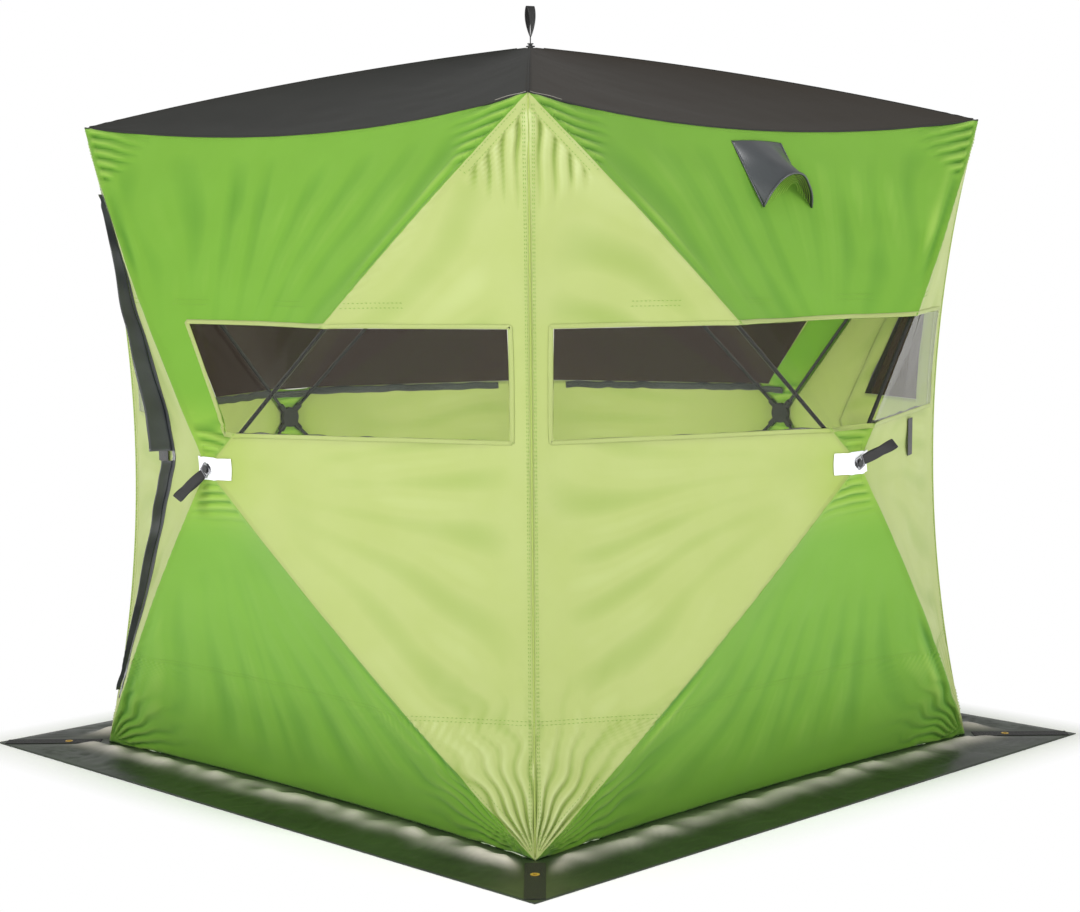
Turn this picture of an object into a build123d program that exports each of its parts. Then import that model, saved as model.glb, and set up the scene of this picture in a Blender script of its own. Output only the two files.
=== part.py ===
"""Pop-up ice fishing hut: four cloth walls and a roof, each drawn out to a hub by four glass-fibre poles.

Millimetres, +Z up. The origin is on the ground at the middle of the floor square, and the walls are square to X and Y.
The front wall faces -Y, the right wall +X, the back wall +Y and the left wall -X. Left and right on a wall are as seen
from outside. Every wall's pieces are made on the front wall and then turned about Z.
"""

import math
import os

from build123d import *

# The cloth shell
base_half = 900.0  # half the side of the square that the walls stand on
eave_spread = 14.0  # how much further out the top corners stand than the bottom ones
corner_height = 1812.0  # top corners above the ground
wall_hub_height = 903.0
wall_hub_reach = 266.0  # how far a hub draws its wall out beyond the corners
roof_hub_height = 2032.0
cloth = 2.0  # thickness of the shell cloth
corner_bow = 112.0  # how far a corner seam bows in at mid height, along the diagonal
eave_bow = 78.0  # how far an eave seam sags along its slope
eave_slope = 45.0  # degrees below level in which an eave seam sags inwards
ground_bow = 35.0  # how far a ground seam bows in
wall_pole_bow = 24.0  # how far a wall pole flexes outwards at half its length
roof_pole_bow = 20.0
cloth_bow_share = 0.3  # share of the pole's bow that the middle of a panel follows
hub_hole = 0.012  # share of a panel left open at the hub, where the hub clamps the cloth
seam_runs = 5  # straight strips that a panel's cloth is cut in, from the hub to its seam
slit = 0.2  # half the gap between two panels of the roof, of the skirt or beside a door
lay = 0.3  # gap under what is sewn flat on the cloth

# The snow skirt on the ground
skirt_width = 235.0
skirt = 3.0  # thickness of the skirt, and height of the ground seam
skirt_tuck = 8.0  # how far the skirt reaches in under the walls

# Windows
window_sill = 997.0
window_head = 1265.0
window_jamb = 52.0  # cloth between a window and the corner seam
window_slant_gap = 138.0  # cloth between the front window's slanted end and the pole, along the wall
film = 1.0  # thickness of the window film
film_gap = 0.3  # between the film and the cloth round it

# Doors
door_top = 1640.0
door_bottom = 150.0
door_reach = 330.0  # from the wall's middle to the door's point
door_jamb = 30.0  # fixed cloth between the corner seam and the door
door_tip = 34.0  # width of the door at its upper and lower ends
door_gap = 6.0  # clearance between the door and the cloth round it
hinge_gap = 0.5  # clearance at the door's hinge side, which moves away from the corner strip
door_window_edge = 70.0  # cloth between the door's window and the door's zip side
upper_flap_width = 62.0
lower_flap_width = 30.0
flap_tip_width = 12.0
flap = 2.0  # thickness of the storm flap over the zip
flap_lean = 55.0  # degrees that the storm flap stands out from the wall
flap_inset = 10.0  # from the door's zip side to the storm flap's seam
flap_end_inset = 6.0  # further in at the flap's far ends
flap_end = 20.0  # from the flap's far ends to the door's upper and lower ends
flap_start = 14.0  # above and below the door's point, where the two flaps part
under_flap = 20.0  # depth of the cut that fits a piece to the cloth under it
tab_width = 110.0
tab_height = 50.0
tab = 1.6
tab_inset = 55.0  # from the door's point to its grip tab
band_across = 515.0  # middle of the tie band on a wall with no door
band_width = 50.0
band_bottom = 872.0
band_top = 975.0

# Hubs and poles
rod_radius = 5.5
rod_sides = 8
rod_stop = 34.0  # the rods end this far before the corner
sleeve = 1.0  # cloth between a rod and the shell
hub_radius = 33.0
hub_sides = 16
disc_depth = 13.0
socket_half = 7.6  # half the width of a square socket
socket_length = 58.0
socket_floor = 14.0  # a rod starts this far from the hub's middle
socket_gap = 0.3  # round a rod in its socket
socket_clear = 5.8  # between a socket and the cloth
clamp_radius = 13.0  # the bolt's washer outside the cloth
clamp = 3.0
stem_radius = 8.0
screw_radius = 6.0
screw_length = 5.0
head_radius = 9.0
head = 2.5
patch_width = 136.0
patch_height = 56.0
patch = 0.8

# Pull straps and their rings
strap_width = 25.0
strap = 1.6
strap_loop = 5.0  # half the inner height of the strap's loop
wall_strap_length = 104.0
roof_strap_length = 92.0
strap_lean = 24.0  # degrees that a wall's strap stands out from the wall
door_strap_turn = 227.0  # degrees round the hub, from the wall's right, in which the strap hangs
plain_strap_turn = 26.0
ring_bar = 1.6  # half the thickness of the ring's bars
ring_half_width = 15.0
ring_half_length = 12.0

# Vents
vent_width = 200.0
vent_height = 182.0  # down the wall's slope
vent_middle = 1640.0
vent_across = -18.0
vent_skew = 48.0  # how far the mouth lies to the right of the top
vent_depth = 70.0
vent_top_depth = 8.0
vent_wall = 2.0
arch_runs = 8  # straight runs round the hood's arch
vent_floor = 10.0  # the hollow runs this far past the mouth and the back

# Ground anchors
anchor_width = 50.0
anchor = 2.0
anchor_start = 26.0  # from the corner seam's foot to the anchor strap, along the diagonal
anchor_length = 280.0
eyelet_distance = 121.0  # from the corner seam's foot to the eyelet
eyelet_hole = 6.0  # radius of the hole for an ice anchor
eyelet_wall = 2.0
eyelet_rim = 11.0
eyelet_lip = 1.0
eyelet_gap = 0.2

os.makedirs("parts", exist_ok=True)

WALLS = {"front": 0, "right": 90, "back": 180, "left": 270}
DOOR_WALLS = ("front", "back")
OUT = Vector(0, -1, 0)
UP = Vector(0, 0, 1)

# Key points of the front wall
eave_half = base_half + eave_spread
mid_half = (base_half + eave_half) / 2
seam_inset = corner_bow / math.sqrt(2)
steepest_slope = (wall_hub_reach + seam_inset) / (mid_half - seam_inset)  # of a panel, down from its hub
eave_in = eave_bow * math.cos(math.radians(eave_slope))
eave_down = eave_bow * math.sin(math.radians(eave_slope))
wall_hub = Vector(0, -(mid_half + wall_hub_reach), wall_hub_height)
roof_hub = Vector(0, 0, roof_hub_height)
corners = {
    ("top", -1): Vector(-eave_half, -eave_half, corner_height),
    ("top", 1): Vector(eave_half, -eave_half, corner_height),
    ("bottom", -1): Vector(-base_half, -base_half, skirt),
    ("bottom", 1): Vector(base_half, -base_half, skirt),
}
seam_middles = {
    "top": Vector(0, eave_in - eave_half, corner_height - eave_down),
    "bottom": Vector(0, ground_bow - base_half, skirt),
    "left": Vector(seam_inset - mid_half, seam_inset - mid_half, (corner_height + skirt) / 2),
    "right": Vector(mid_half - seam_inset, seam_inset - mid_half, (corner_height + skirt) / 2),
}
PANEL_ENDS = {
    "top": (("top", -1), ("top", 1)),
    "bottom": (("bottom", -1), ("bottom", 1)),
    "left": (("bottom", -1), ("top", -1)),
    "right": (("bottom", 1), ("top", 1)),
}


def save(part, name):
    """Label a finished piece and write it to its file."""
    part.label = name
    export_step(part, f"parts/{name}.step")


def turned(part, wall):
    """A piece of the front wall, turned to another wall."""
    return part.rotate(Axis.Z, WALLS[wall])


def between(a, b, share):
    """The point a share of the way from a to b."""
    return a + (b - a) * share


def panel_points(apex, side, bow, out):
    """Rows of points over a panel's outer face, from the hub to the bowed seam, lifted where its poles flex most."""
    first, last = (corners[name] for name in PANEL_ENDS[side])
    seam = Edge.make_three_point_arc(first, seam_middles[side], last)
    rows = []
    for share in (hub_hole, 0.5, 1.0):
        row = []
        for run in range(seam_runs + 1):
            along = run / seam_runs
            flex = 1 - (1 - cloth_bow_share) * 4 * along * (1 - along)
            lift = out * (4 * share * (1 - share) * bow * flex)
            row.append(between(apex, seam @ along, share) + lift)
        rows.append(row)
    return rows


def flat_face(*points):
    """A flat face with straight sides."""
    return Face(Wire.make_polygon(points))


def panel_faces(rows, shift):
    """The flat three-sided faces between rows of points, all moved by a shift."""
    faces = []
    for low, high in zip(rows[:-1], rows[1:]):
        for run in range(len(low) - 1):
            a, b, c, d = (point + shift for point in (low[run], low[run + 1], high[run + 1], high[run]))
            faces += [flat_face(a, b, c), flat_face(a, c, d)]
    return faces


def panel_solid(rows, out, depth, thickness):
    """A layer of cloth between two copies of a panel's faces, closed round its edge."""
    top, bottom = out * -depth, out * -(depth + thickness)
    edge = rows[0] + [row[-1] for row in rows[1:-1]] + rows[-1][::-1] + [row[0] for row in rows[-2:0:-1]]
    rim = [
        flat_face(start + top, end + top, end + bottom, start + bottom)
        for start, end in zip(edge, edge[1:] + edge[:1])
    ]
    return Solid(Shell(panel_faces(rows, top) + panel_faces(rows, bottom) + rim))


def diagonal_plane(across_sign, inset=0.0):
    """The upright plane through a corner seam of the front wall, pointing into the wall's quarter."""
    normal = Vector(-across_sign, -1, 0).normalized()
    return Plane(origin=normal * inset, z_dir=normal)


def eave_plane(sign):
    """The sloping plane of the front wall's eave seam, pointing up (1) to the roof or down (-1) to the wall."""
    lean = math.radians(eave_slope)
    normal = Vector(0, math.sin(lean), math.cos(lean)) * sign
    return Plane(origin=(0, -eave_half, corner_height), z_dir=normal)


def wall_layer(side, depth, thickness):
    """A layer of one panel of the front wall, from a depth behind its outer face, trimmed at the seams."""
    with BuildPart() as layer:
        add(panel_solid(wall_rows[side], OUT, depth, thickness))
        for plane in (diagonal_plane(-1), diagonal_plane(1), eave_plane(-1)):
            split(bisect_by=plane, keep=Keep.TOP)
    return layer.part


wall_rows = {side: panel_points(wall_hub, side, wall_pole_bow, OUT) for side in PANEL_ENDS}
wall_faces = {side: panel_faces(rows, Vector(0, 0, 0)) for side, rows in wall_rows.items()}


def on_wall(side, across, height):
    """The point and the normal of a front panel's outer face, at a distance across the wall and a height."""
    ray = Axis((across, 0, height), OUT)
    hits = [hit for face in wall_faces[side] for hit in face.find_intersection_points(ray)]
    point, normal = hits[0]
    return point, normal if normal.dot(OUT) > 0 else normal * -1


def prism(outline):
    """A prism through the front wall, whose outline is given across the wall and up."""
    with BuildPart() as cutter:
        with BuildSketch(Plane.XZ):
            with BuildLine():
                Polyline(*outline, close=True)
            make_face()
        extrude(amount=2 * base_half)
    return cutter.part


def pole_across(height):
    """How far left of the wall's middle the upper left pole is, at a height."""
    return -eave_half * (height - wall_hub_height) / (corner_height - wall_hub_height)


def seam_across(sign, height):
    """How far from the wall's middle the corner seam is, at a height."""
    share = (height - skirt) / (corner_height - skirt)
    straight = base_half + (eave_half - base_half) * share
    return sign * (straight - seam_inset * 4 * share * (1 - share))


def window_outline(slanted, shrink=0.0):
    """The window band, between two jambs, or from a slanted end beside the upper left pole."""
    low, high = window_sill + shrink, window_head - shrink
    jamb = window_jamb + shrink
    right = [(seam_across(1, low) - jamb, low), (seam_across(1, high) - jamb, high)]
    if slanted:
        gap = window_slant_gap + shrink
        return right + [(pole_across(high) + gap, high), (pole_across(low) + gap, low)]
    return right + [(seam_across(-1, high) + jamb, high), (seam_across(-1, low) + jamb, low)]


def door_outline(grow=0.0, hinge_grow=0.0):
    """The door at the wall's left: a hinge side along the seam, and a zip side with its point near the hub."""
    low, high = door_bottom - grow, door_top + grow
    heights = [low + (high - low) * run / seam_runs for run in range(seam_runs + 1)]
    hinge_side = [(seam_across(-1, height) + door_jamb - hinge_grow, height) for height in heights]
    tip = door_tip + hinge_grow + grow
    zip_side = [
        (hinge_side[-1][0] + tip, high),
        (grow - door_reach, wall_hub_height),
        (hinge_side[0][0] + tip, low),
    ]
    return hinge_side + zip_side


def zip_across(height):
    """How far across the wall the door's upper zip side is, at a height."""
    tip = seam_across(-1, door_top) + door_jamb + door_tip
    share = (height - wall_hub_height) / (door_top - wall_hub_height)
    return -door_reach + (tip + door_reach) * share


def door_window_outline(shrink=0.0):
    """The door's window: the window band between the door's hinge side and its zip side."""
    low, high = window_sill + shrink, window_head - shrink
    jamb = door_jamb + window_jamb + shrink
    edge = door_window_edge + shrink
    return [
        (seam_across(-1, low) + jamb, low),
        (seam_across(-1, high) + jamb, high),
        (zip_across(high) - edge, high),
        (zip_across(low) - edge, low),
    ]


def rectangle(left, right, low, high):
    """A rectangle's outline across a wall and up."""
    return [(left, low), (right, low), (right, high), (left, high)]


# Wall panels
layers = {side: wall_layer(side, 0, cloth) for side in PANEL_ENDS}
bands = {slanted: prism(window_outline(slanted)) for slanted in (True, False)}
for wall in WALLS:
    band = bands[wall in DOOR_WALLS]
    for side in ("top", "right", "left"):
        if side == "left" and wall in DOOR_WALLS:
            continue
        with BuildPart() as panel:
            add(layers[side])
            add(band, mode=Mode.SUBTRACT)
        save(turned(panel.part, wall), f"{wall}_{side}_panel")
    save(turned(layers["bottom"], wall), f"{wall}_bottom_panel")

# The fixed cloth round a door: the corner strip, and the cloth above and below the zip
with BuildPart() as surround:
    add(layers["left"])
    add(prism(door_outline(grow=door_gap, hinge_grow=hinge_gap)), mode=Mode.SUBTRACT)
    for height in (door_bottom - door_gap, door_top + door_gap):
        strip_edge = seam_across(-1, height) + door_jamb + door_tip / 2
        slot = rectangle(-2 * base_half, strip_edge, height - slit, height + slit)
        add(prism(slot), mode=Mode.SUBTRACT)
    slot = rectangle(-door_reach, 0, wall_hub_height - slit, wall_hub_height + slit)
    add(prism(slot), mode=Mode.SUBTRACT)
for wall in DOOR_WALLS:
    save(turned(surround.part, wall), f"{wall}_door_surround")

# Windows: one sheet of film, creased where it crosses a pole
film_layers = {side: wall_layer(side, (cloth - film) / 2, film) for side in ("right", "top", "left")}
for wall in WALLS:
    slanted = wall in DOOR_WALLS
    with BuildPart() as window:
        for side in ("right", "top") if slanted else ("right", "top", "left"):
            add(film_layers[side])
        add(prism(window_outline(slanted, shrink=film_gap)), mode=Mode.INTERSECT)
    save(turned(window.part, wall), f"{wall}_window")

# Door leaves and their windows
with BuildPart() as door:
    add(layers["left"])
    add(prism(door_outline()), mode=Mode.INTERSECT)
    add(prism(door_window_outline()), mode=Mode.SUBTRACT)
with BuildPart() as door_window:
    add(film_layers["left"])
    add(prism(door_window_outline(shrink=film_gap)), mode=Mode.INTERSECT)
with BuildPart() as door_tab:
    add(wall_layer("left", -(lay + tab), tab))
    tab_right = -door_reach - tab_inset
    low = wall_hub_height - tab_height / 2
    tab_outline = rectangle(tab_right - tab_width, tab_right, low, low + tab_height)
    add(prism(tab_outline), mode=Mode.INTERSECT)
with BuildPart() as tie_band:
    add(wall_layer("right", -(lay + tab), tab))
    left = band_across - band_width / 2
    band_outline = rectangle(left, left + band_width, band_bottom, band_top)
    add(prism(band_outline), mode=Mode.INTERSECT)


def flap_strip(top, bottom, width_top, width_bottom, lean_out):
    """A storm flap standing out from the door's face, along a line across the wall and up."""
    middle = ((top[0] + bottom[0]) / 2, (top[1] + bottom[1]) / 2)
    seam = [on_wall("left", *place)[0] for place in (top, middle, bottom)]
    along = (seam[0] - seam[2]).normalized()
    to_hinge = Vector(-1, 0, 0)
    lean = (to_hinge * math.cos(lean_out) + OUT * math.sin(lean_out)).normalized()
    widths = (width_top, (width_top + width_bottom) / 2 + flap, width_bottom)
    free = [point + lean * width for point, width in zip(seam, widths)]
    face = Face.make_surface_from_curves(
        Edge.make_three_point_arc(*seam), Edge.make_three_point_arc(*free)
    )
    across = lean.cross(along).normalized()
    if across.dot(Vector(1, 0, 0)) < 0:
        across = across * -1
    return extrude(face, amount=flap, dir=across)


zip_tip = seam_across(-1, door_top) + door_jamb + door_tip
lower_zip_tip = seam_across(-1, door_bottom) + door_jamb + door_tip
flap_point = -door_reach - flap_inset - flap_start
with BuildPart() as storm_flap:
    add(
        flap_strip(
            (zip_tip - flap_inset - flap_end_inset, door_top - flap_end),
            (flap_point, wall_hub_height + flap_start),
            flap_tip_width,
            upper_flap_width,
            math.radians(flap_lean),
        )
    )
    add(
        flap_strip(
            (flap_point, wall_hub_height - flap_start),
            (lower_zip_tip - flap_inset - flap_end_inset, door_bottom + flap_end),
            lower_flap_width,
            flap_tip_width,
            math.radians(flap_lean),
        )
    )
    add(wall_layer("left", -lay, under_flap), mode=Mode.SUBTRACT)
for wall in DOOR_WALLS:
    save(turned(door.part, wall), f"{wall}_door")
    save(turned(door_window.part, wall), f"{wall}_door_window")
    save(turned(door_tab.part, wall), f"{wall}_door_tab")
    save(turned(storm_flap.part, wall), f"{wall}_storm_flap")
with BuildPart() as tie_bands:
    for wall in ("right", "left"):
        add(turned(tie_band.part, wall))
save(tie_bands.part, "tie_bands")

# Roof: four panels sewn along the poles
roof_rows = panel_points(roof_hub, "top", roof_pole_bow, UP)
with BuildPart() as roof_panel:
    add(panel_solid(roof_rows, UP, 0, cloth))
    for plane in (diagonal_plane(-1, slit), diagonal_plane(1, slit), eave_plane(1)):
        split(bisect_by=plane, keep=Keep.TOP)
with BuildPart() as roof:
    for wall in WALLS:
        add(turned(roof_panel.part, wall))
save(roof.part, "roof")

# Snow skirt: four flat panels on the ground, with holes at the corners for the eyelets
eyelet_spot = base_half + eyelet_distance / math.sqrt(2)
eyelet_outer = eyelet_hole + eyelet_wall
skirt_half = base_half + skirt_width
tuck_half = base_half - skirt_tuck
with BuildPart() as skirt_panel:
    with BuildSketch():
        with BuildLine():
            ThreePointArc(
                (-tuck_half, -tuck_half), (0, ground_bow - tuck_half), (tuck_half, -tuck_half)
            )
            Polyline(
                (tuck_half, -tuck_half),
                (skirt_half, -skirt_half),
                (-skirt_half, -skirt_half),
                (-tuck_half, -tuck_half),
            )
        make_face()
    extrude(amount=skirt)
    for plane in (diagonal_plane(-1, slit), diagonal_plane(1, slit)):
        split(bisect_by=plane, keep=Keep.TOP)
    with Locations((eyelet_spot, -eyelet_spot, 0), (-eyelet_spot, -eyelet_spot, 0)):
        hole = eyelet_outer + eyelet_gap
        Cylinder(hole, 4 * skirt, mode=Mode.SUBTRACT)
with BuildPart() as snow_skirt:
    for wall in WALLS:
        add(turned(skirt_panel.part, wall))
save(snow_skirt.part, "snow_skirt")

# Ground anchors: a webbing strap and a brass eyelet at each corner
corner_line = Plane(origin=(base_half, -base_half, skirt), x_dir=(1, -1, 0), z_dir=(0, 0, 1))
with BuildPart() as anchor_strap:
    with BuildSketch(corner_line):
        with Locations((anchor_start + anchor_length / 2, 0)):
            Rectangle(anchor_length, anchor_width)
        with Locations((eyelet_distance, 0)):
            Circle(eyelet_outer + eyelet_gap, mode=Mode.SUBTRACT)
    extrude(amount=anchor)
with BuildPart() as eyelet:
    with BuildSketch(Plane.XY):
        with Locations((eyelet_spot, -eyelet_spot)):
            Circle(eyelet_outer)
            Circle(eyelet_hole, mode=Mode.SUBTRACT)
    extrude(amount=skirt + anchor + eyelet_lip)
    with BuildSketch(Plane.XY.offset(skirt + anchor)):
        with Locations((eyelet_spot, -eyelet_spot)):
            Circle(eyelet_rim)
            Circle(eyelet_hole, mode=Mode.SUBTRACT)
    extrude(amount=eyelet_lip)
with BuildPart() as anchor_straps:
    for wall in WALLS:
        add(turned(anchor_strap.part, wall))
save(anchor_straps.part, "anchor_straps")
with BuildPart() as eyelets:
    for wall in WALLS:
        add(turned(eyelet.part, wall))
save(eyelets.part, "anchor_eyelets")


def rod_line(hub, end, out, bow):
    """A pole's axis behind the cloth, from inside its socket to near the corner, bent at the middle."""
    start = hub - out * (cloth + socket_clear + socket_half)
    finish = end - out * (cloth + sleeve + rod_radius)
    length = (finish - start).length
    shares = (socket_floor / length, 0.5, 1 - rod_stop / length)
    return [between(start, finish, share) + out * (2 * min(share, 1 - share) * bow) for share in shares]


def rod(points):
    """A round bar, its flex made as two straight runs with a mitred joint."""
    with BuildPart() as bar:
        with BuildLine() as path:
            Polyline(*points)
        with BuildSketch(Plane(origin=points[0], z_dir=points[1] - points[0])):
            RegularPolygon(rod_radius, rod_sides)
        sweep(path=path.line, transition=Transition.RIGHT)
    return bar.part


def hub_body(hub, out, lines):
    """A moulded hub: a disc behind the cloth, a square socket for each pole, and a bolt through the cloth."""
    axis = Plane(origin=hub, z_dir=out)
    disc_top = cloth + lay + hub_radius * steepest_slope
    with BuildPart() as body:
        with BuildSketch(axis.offset(-disc_top)):
            RegularPolygon(hub_radius, hub_sides)
        extrude(amount=-disc_depth)
        with BuildSketch(axis.offset(-disc_top)):
            Circle(stem_radius)
        extrude(amount=disc_top)
        axes = [(points[0], (points[1] - points[0]).normalized()) for points in lines]
        for foot, along in axes:
            side_on = out.cross(along)
            with BuildSketch(Plane(origin=foot - along * socket_floor, x_dir=side_on, z_dir=along)):
                Rectangle(2 * socket_half, 2 * socket_half)
            extrude(amount=socket_length)
        for foot, along in axes:
            with BuildSketch(Plane(origin=foot - along * socket_gap, z_dir=along)):
                RegularPolygon(rod_radius + socket_gap, rod_sides)
            extrude(amount=socket_length, mode=Mode.SUBTRACT)
        with BuildSketch(axis):
            Circle(clamp_radius)
        extrude(amount=clamp)
        with BuildSketch(axis.offset(clamp)):
            Circle(screw_radius)
        extrude(amount=screw_length)
        with BuildSketch(axis.offset(clamp + screw_length)):
            Circle(head_radius)
        extrude(amount=head)
    return body.part


# Poles and hubs
wall_lines = [rod_line(wall_hub, corner, OUT, wall_pole_bow) for corner in corners.values()]
top_corners = [corners[("top", 1)].rotate(Axis.Z, angle) for angle in WALLS.values()]
roof_lines = [rod_line(roof_hub, corner, UP, roof_pole_bow) for corner in top_corners]
with BuildPart() as wall_poles:
    for line in wall_lines:
        add(rod(line))
with BuildPart() as roof_poles:
    for line in roof_lines:
        add(rod(line))
wall_hub_part = hub_body(wall_hub, OUT, wall_lines)
for wall in WALLS:
    save(turned(wall_poles.part, wall), f"{wall}_poles")
    save(turned(wall_hub_part, wall), f"{wall}_hub")
save(roof_poles.part, "roof_poles")

# Reflective patches round the wall hubs
with BuildPart() as wall_patch:
    for side in PANEL_ENDS:
        add(wall_layer(side, -(lay + patch), patch))
    low = wall_hub_height - patch_height / 2
    outline = rectangle(-patch_width / 2, patch_width / 2, low, low + patch_height)
    add(prism(outline), mode=Mode.INTERSECT)
    with BuildSketch(Plane(origin=wall_hub, z_dir=OUT)):
        RegularPolygon(clamp_radius + slit, hub_sides, major_radius=False)
    extrude(amount=clamp_radius, both=True, mode=Mode.SUBTRACT)
for wall in WALLS:
    save(turned(wall_patch.part, wall), f"{wall}_reflector")


def ring_part(centre, along, facing):
    """A flat pressed ring, rectangular with cut corners: its length runs along, and it faces facing."""
    with BuildPart() as ring:
        with BuildSketch(Plane(origin=centre, x_dir=along, z_dir=facing)) as outline:
            Rectangle(2 * (ring_half_length + ring_bar), 2 * (ring_half_width + ring_bar))
            chamfer(outline.vertices(), ring_bar)
            Rectangle(2 * (ring_half_length - ring_bar), 2 * (ring_half_width - ring_bar), mode=Mode.SUBTRACT)
        extrude(amount=ring_bar, both=True)
    return ring.part


def strap_part(bar, direction, side_on, length):
    """A webbing loop round a ring's bar: a flat slot-shaped band, as wide as the webbing."""
    root = bar - direction * (strap + ring_bar * math.sqrt(2) + lay)
    with BuildPart() as loop:
        with BuildSketch(Plane(origin=root, x_dir=direction, z_dir=side_on)):
            with Locations((length / 2, 0)):
                SlotOverall(length, 2 * (strap_loop + strap))
                SlotOverall(length - 2 * strap, 2 * strap_loop, mode=Mode.SUBTRACT)
        extrude(amount=strap_width / 2, both=True)
    return loop.part


# Pull straps: on a wall the ring lies round the hub's screw, and the strap stands out from the wall
ring_shift = ring_half_length - ring_bar - screw_radius - socket_gap
strap_turns = {wall: door_strap_turn if wall in DOOR_WALLS else plain_strap_turn for wall in WALLS}
ring_parts = []
strap_parts = []
for wall, angle in strap_turns.items():
    along = Vector(math.cos(math.radians(angle)), 0, math.sin(math.radians(angle)))
    centre = wall_hub + OUT * (clamp + lay + ring_bar) + along * ring_shift
    lean = math.radians(strap_lean)
    direction = along * math.cos(lean) + OUT * math.sin(lean)
    bar = centre + along * ring_half_length
    ring_parts.append(turned(ring_part(centre, along, OUT), wall))
    strap_parts.append(
        turned(strap_part(bar, direction, along.cross(OUT), wall_strap_length), wall)
    )
# The roof's ring stands up in the screw's head, and its strap stands above it
to_near_corner = Vector(1, -1, 0).normalized()
roof_ring_centre = roof_hub + UP * (clamp + ring_half_length + ring_bar + lay)
with BuildPart() as roof_hub_body:
    add(hub_body(roof_hub, UP, roof_lines))
    add(ring_part(roof_ring_centre, UP, to_near_corner.cross(UP)))
save(roof_hub_body.part, "roof_hub")
roof_bar = roof_ring_centre + UP * ring_half_length
strap_parts.append(strap_part(roof_bar, UP, to_near_corner, roof_strap_length))
with BuildPart() as rings:
    for part in ring_parts:
        add(part)
save(rings.part, "strap_rings")
with BuildPart() as straps:
    for part in strap_parts:
        add(part)
save(straps.part, "pull_straps")

# Vent hoods: an arched mouth that faces down, on the top panels of the walls with no door
vent_point, vent_normal = on_wall("top", vent_across, vent_middle)
vent_plane = Plane(origin=vent_point + vent_normal * lay, x_dir=(1, 0, 0), z_dir=vent_normal)


def arch_section(distance, shift, half_width, rise, foot):
    """An arched section of the hood: its distance up the slope from the hood's middle, and its shift across."""
    up_slope = vent_plane.y_dir
    origin = vent_plane.origin + up_slope * distance + vent_plane.x_dir * shift
    arch = Edge.make_three_point_arc((half_width, 0), (0, rise), (-half_width, 0))
    with BuildSketch(Plane(origin=origin, x_dir=vent_plane.x_dir, z_dir=up_slope * -1)) as section:
        with BuildLine():
            Polyline(*[arch @ (run / arch_runs) for run in range(arch_runs + 1)])
            if foot:
                Polyline((-half_width, 0), (-half_width, -foot), (half_width, -foot), (half_width, 0))
            else:
                Line((-half_width, 0), (half_width, 0))
        make_face()
    return section.sketch


def hood_body(inset, foot, past_mouth):
    """The hood's solid between its narrow top and its arched mouth, made smaller all round by an inset."""
    half_width = vent_width / 2 - inset
    half_height = vent_height / 2
    low_share = -half_height - past_mouth
    with BuildPart() as body:
        loft(
            sections=[
                arch_section(half_height - inset, -vent_skew / 2, half_width, vent_top_depth - inset, foot),
                arch_section(low_share, vent_skew / 2, half_width, vent_depth - inset, foot),
            ],
            ruled=True,
        )
    return body.part


with BuildPart() as hood:
    add(hood_body(0, 0, 0))
    add(hood_body(vent_wall, vent_floor, vent_wall), mode=Mode.SUBTRACT)
    add(wall_layer("top", -lay, under_flap), mode=Mode.SUBTRACT)
for wall in ("right", "left"):
    save(turned(hood.part, wall), f"{wall}_vent_hood")
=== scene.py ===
"""Looks of a pop-up ice fishing hut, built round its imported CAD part.

Metres, +Z up. Every piece of cloth is a grid of points worked out from the hut's own form: a wall is a
cone of cloth from its hub to its four seams, flexed outwards by its poles. A wall's pieces are made on the
front wall, which faces -Y, and then turned about Z. "Across" is the distance to the right of a wall's
middle, seen from outside.
"""
import math

import bmesh
import bpy
import mathutils
import numpy as np
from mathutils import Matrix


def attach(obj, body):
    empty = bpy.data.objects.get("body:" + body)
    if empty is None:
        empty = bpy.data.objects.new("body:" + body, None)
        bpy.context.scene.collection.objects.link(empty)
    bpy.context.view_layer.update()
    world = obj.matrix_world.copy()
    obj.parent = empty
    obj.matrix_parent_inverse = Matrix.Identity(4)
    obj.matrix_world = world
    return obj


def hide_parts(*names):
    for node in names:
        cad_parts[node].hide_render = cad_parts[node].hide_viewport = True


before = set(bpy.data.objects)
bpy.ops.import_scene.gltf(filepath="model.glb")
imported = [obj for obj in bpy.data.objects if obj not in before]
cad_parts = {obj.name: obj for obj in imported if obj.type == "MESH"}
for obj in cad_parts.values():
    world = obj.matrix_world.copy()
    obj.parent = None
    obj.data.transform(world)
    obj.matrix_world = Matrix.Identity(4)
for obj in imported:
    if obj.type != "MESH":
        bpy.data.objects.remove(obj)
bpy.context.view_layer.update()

# The cloth shell
BASE_HALF = 0.900
EAVE_HALF = 0.914
CORNER_HEIGHT = 1.812
HUB_HEIGHT = 0.903
HUB_REACH = 0.266
ROOF_HUB_HEIGHT = 2.032
CORNER_BOW = 0.112
EAVE_BOW = 0.078
GROUND_BOW = 0.035
WALL_POLE_BOW = 0.024
ROOF_POLE_BOW = 0.020
MIDDLE_FLEX = 0.3  # share of a pole's flex that the middle of a panel follows
HUB_HOLE = 0.011  # the cloth starts this far from the hub's axis
SKIRT_HEIGHT = 0.003
SKIRT_WIDTH = 0.235
SKIRT_THICKNESS = 0.0022
CLOTH = 0.0011
FOLD_DEPTH = 0.0045  # relief at which cloth shows its full painted fold shade and highlight

# Windows and doors
SILL = 0.997
HEAD = 1.265
JAMB = 0.052
SLANT_GAP = 0.138
DOOR_TOP = 1.640
DOOR_BOTTOM = 0.150
DOOR_REACH = 0.330
DOOR_JAMB = 0.030
DOOR_TIP = 0.034
DOOR_GAP = 0.002
DOOR_WINDOW_EDGE = 0.070
COVER_WIDTH = 0.022  # a rolled window cover, under each sill on the inside
COVER_DROP = 0.013
COVER_DEPTH = 0.011

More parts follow.
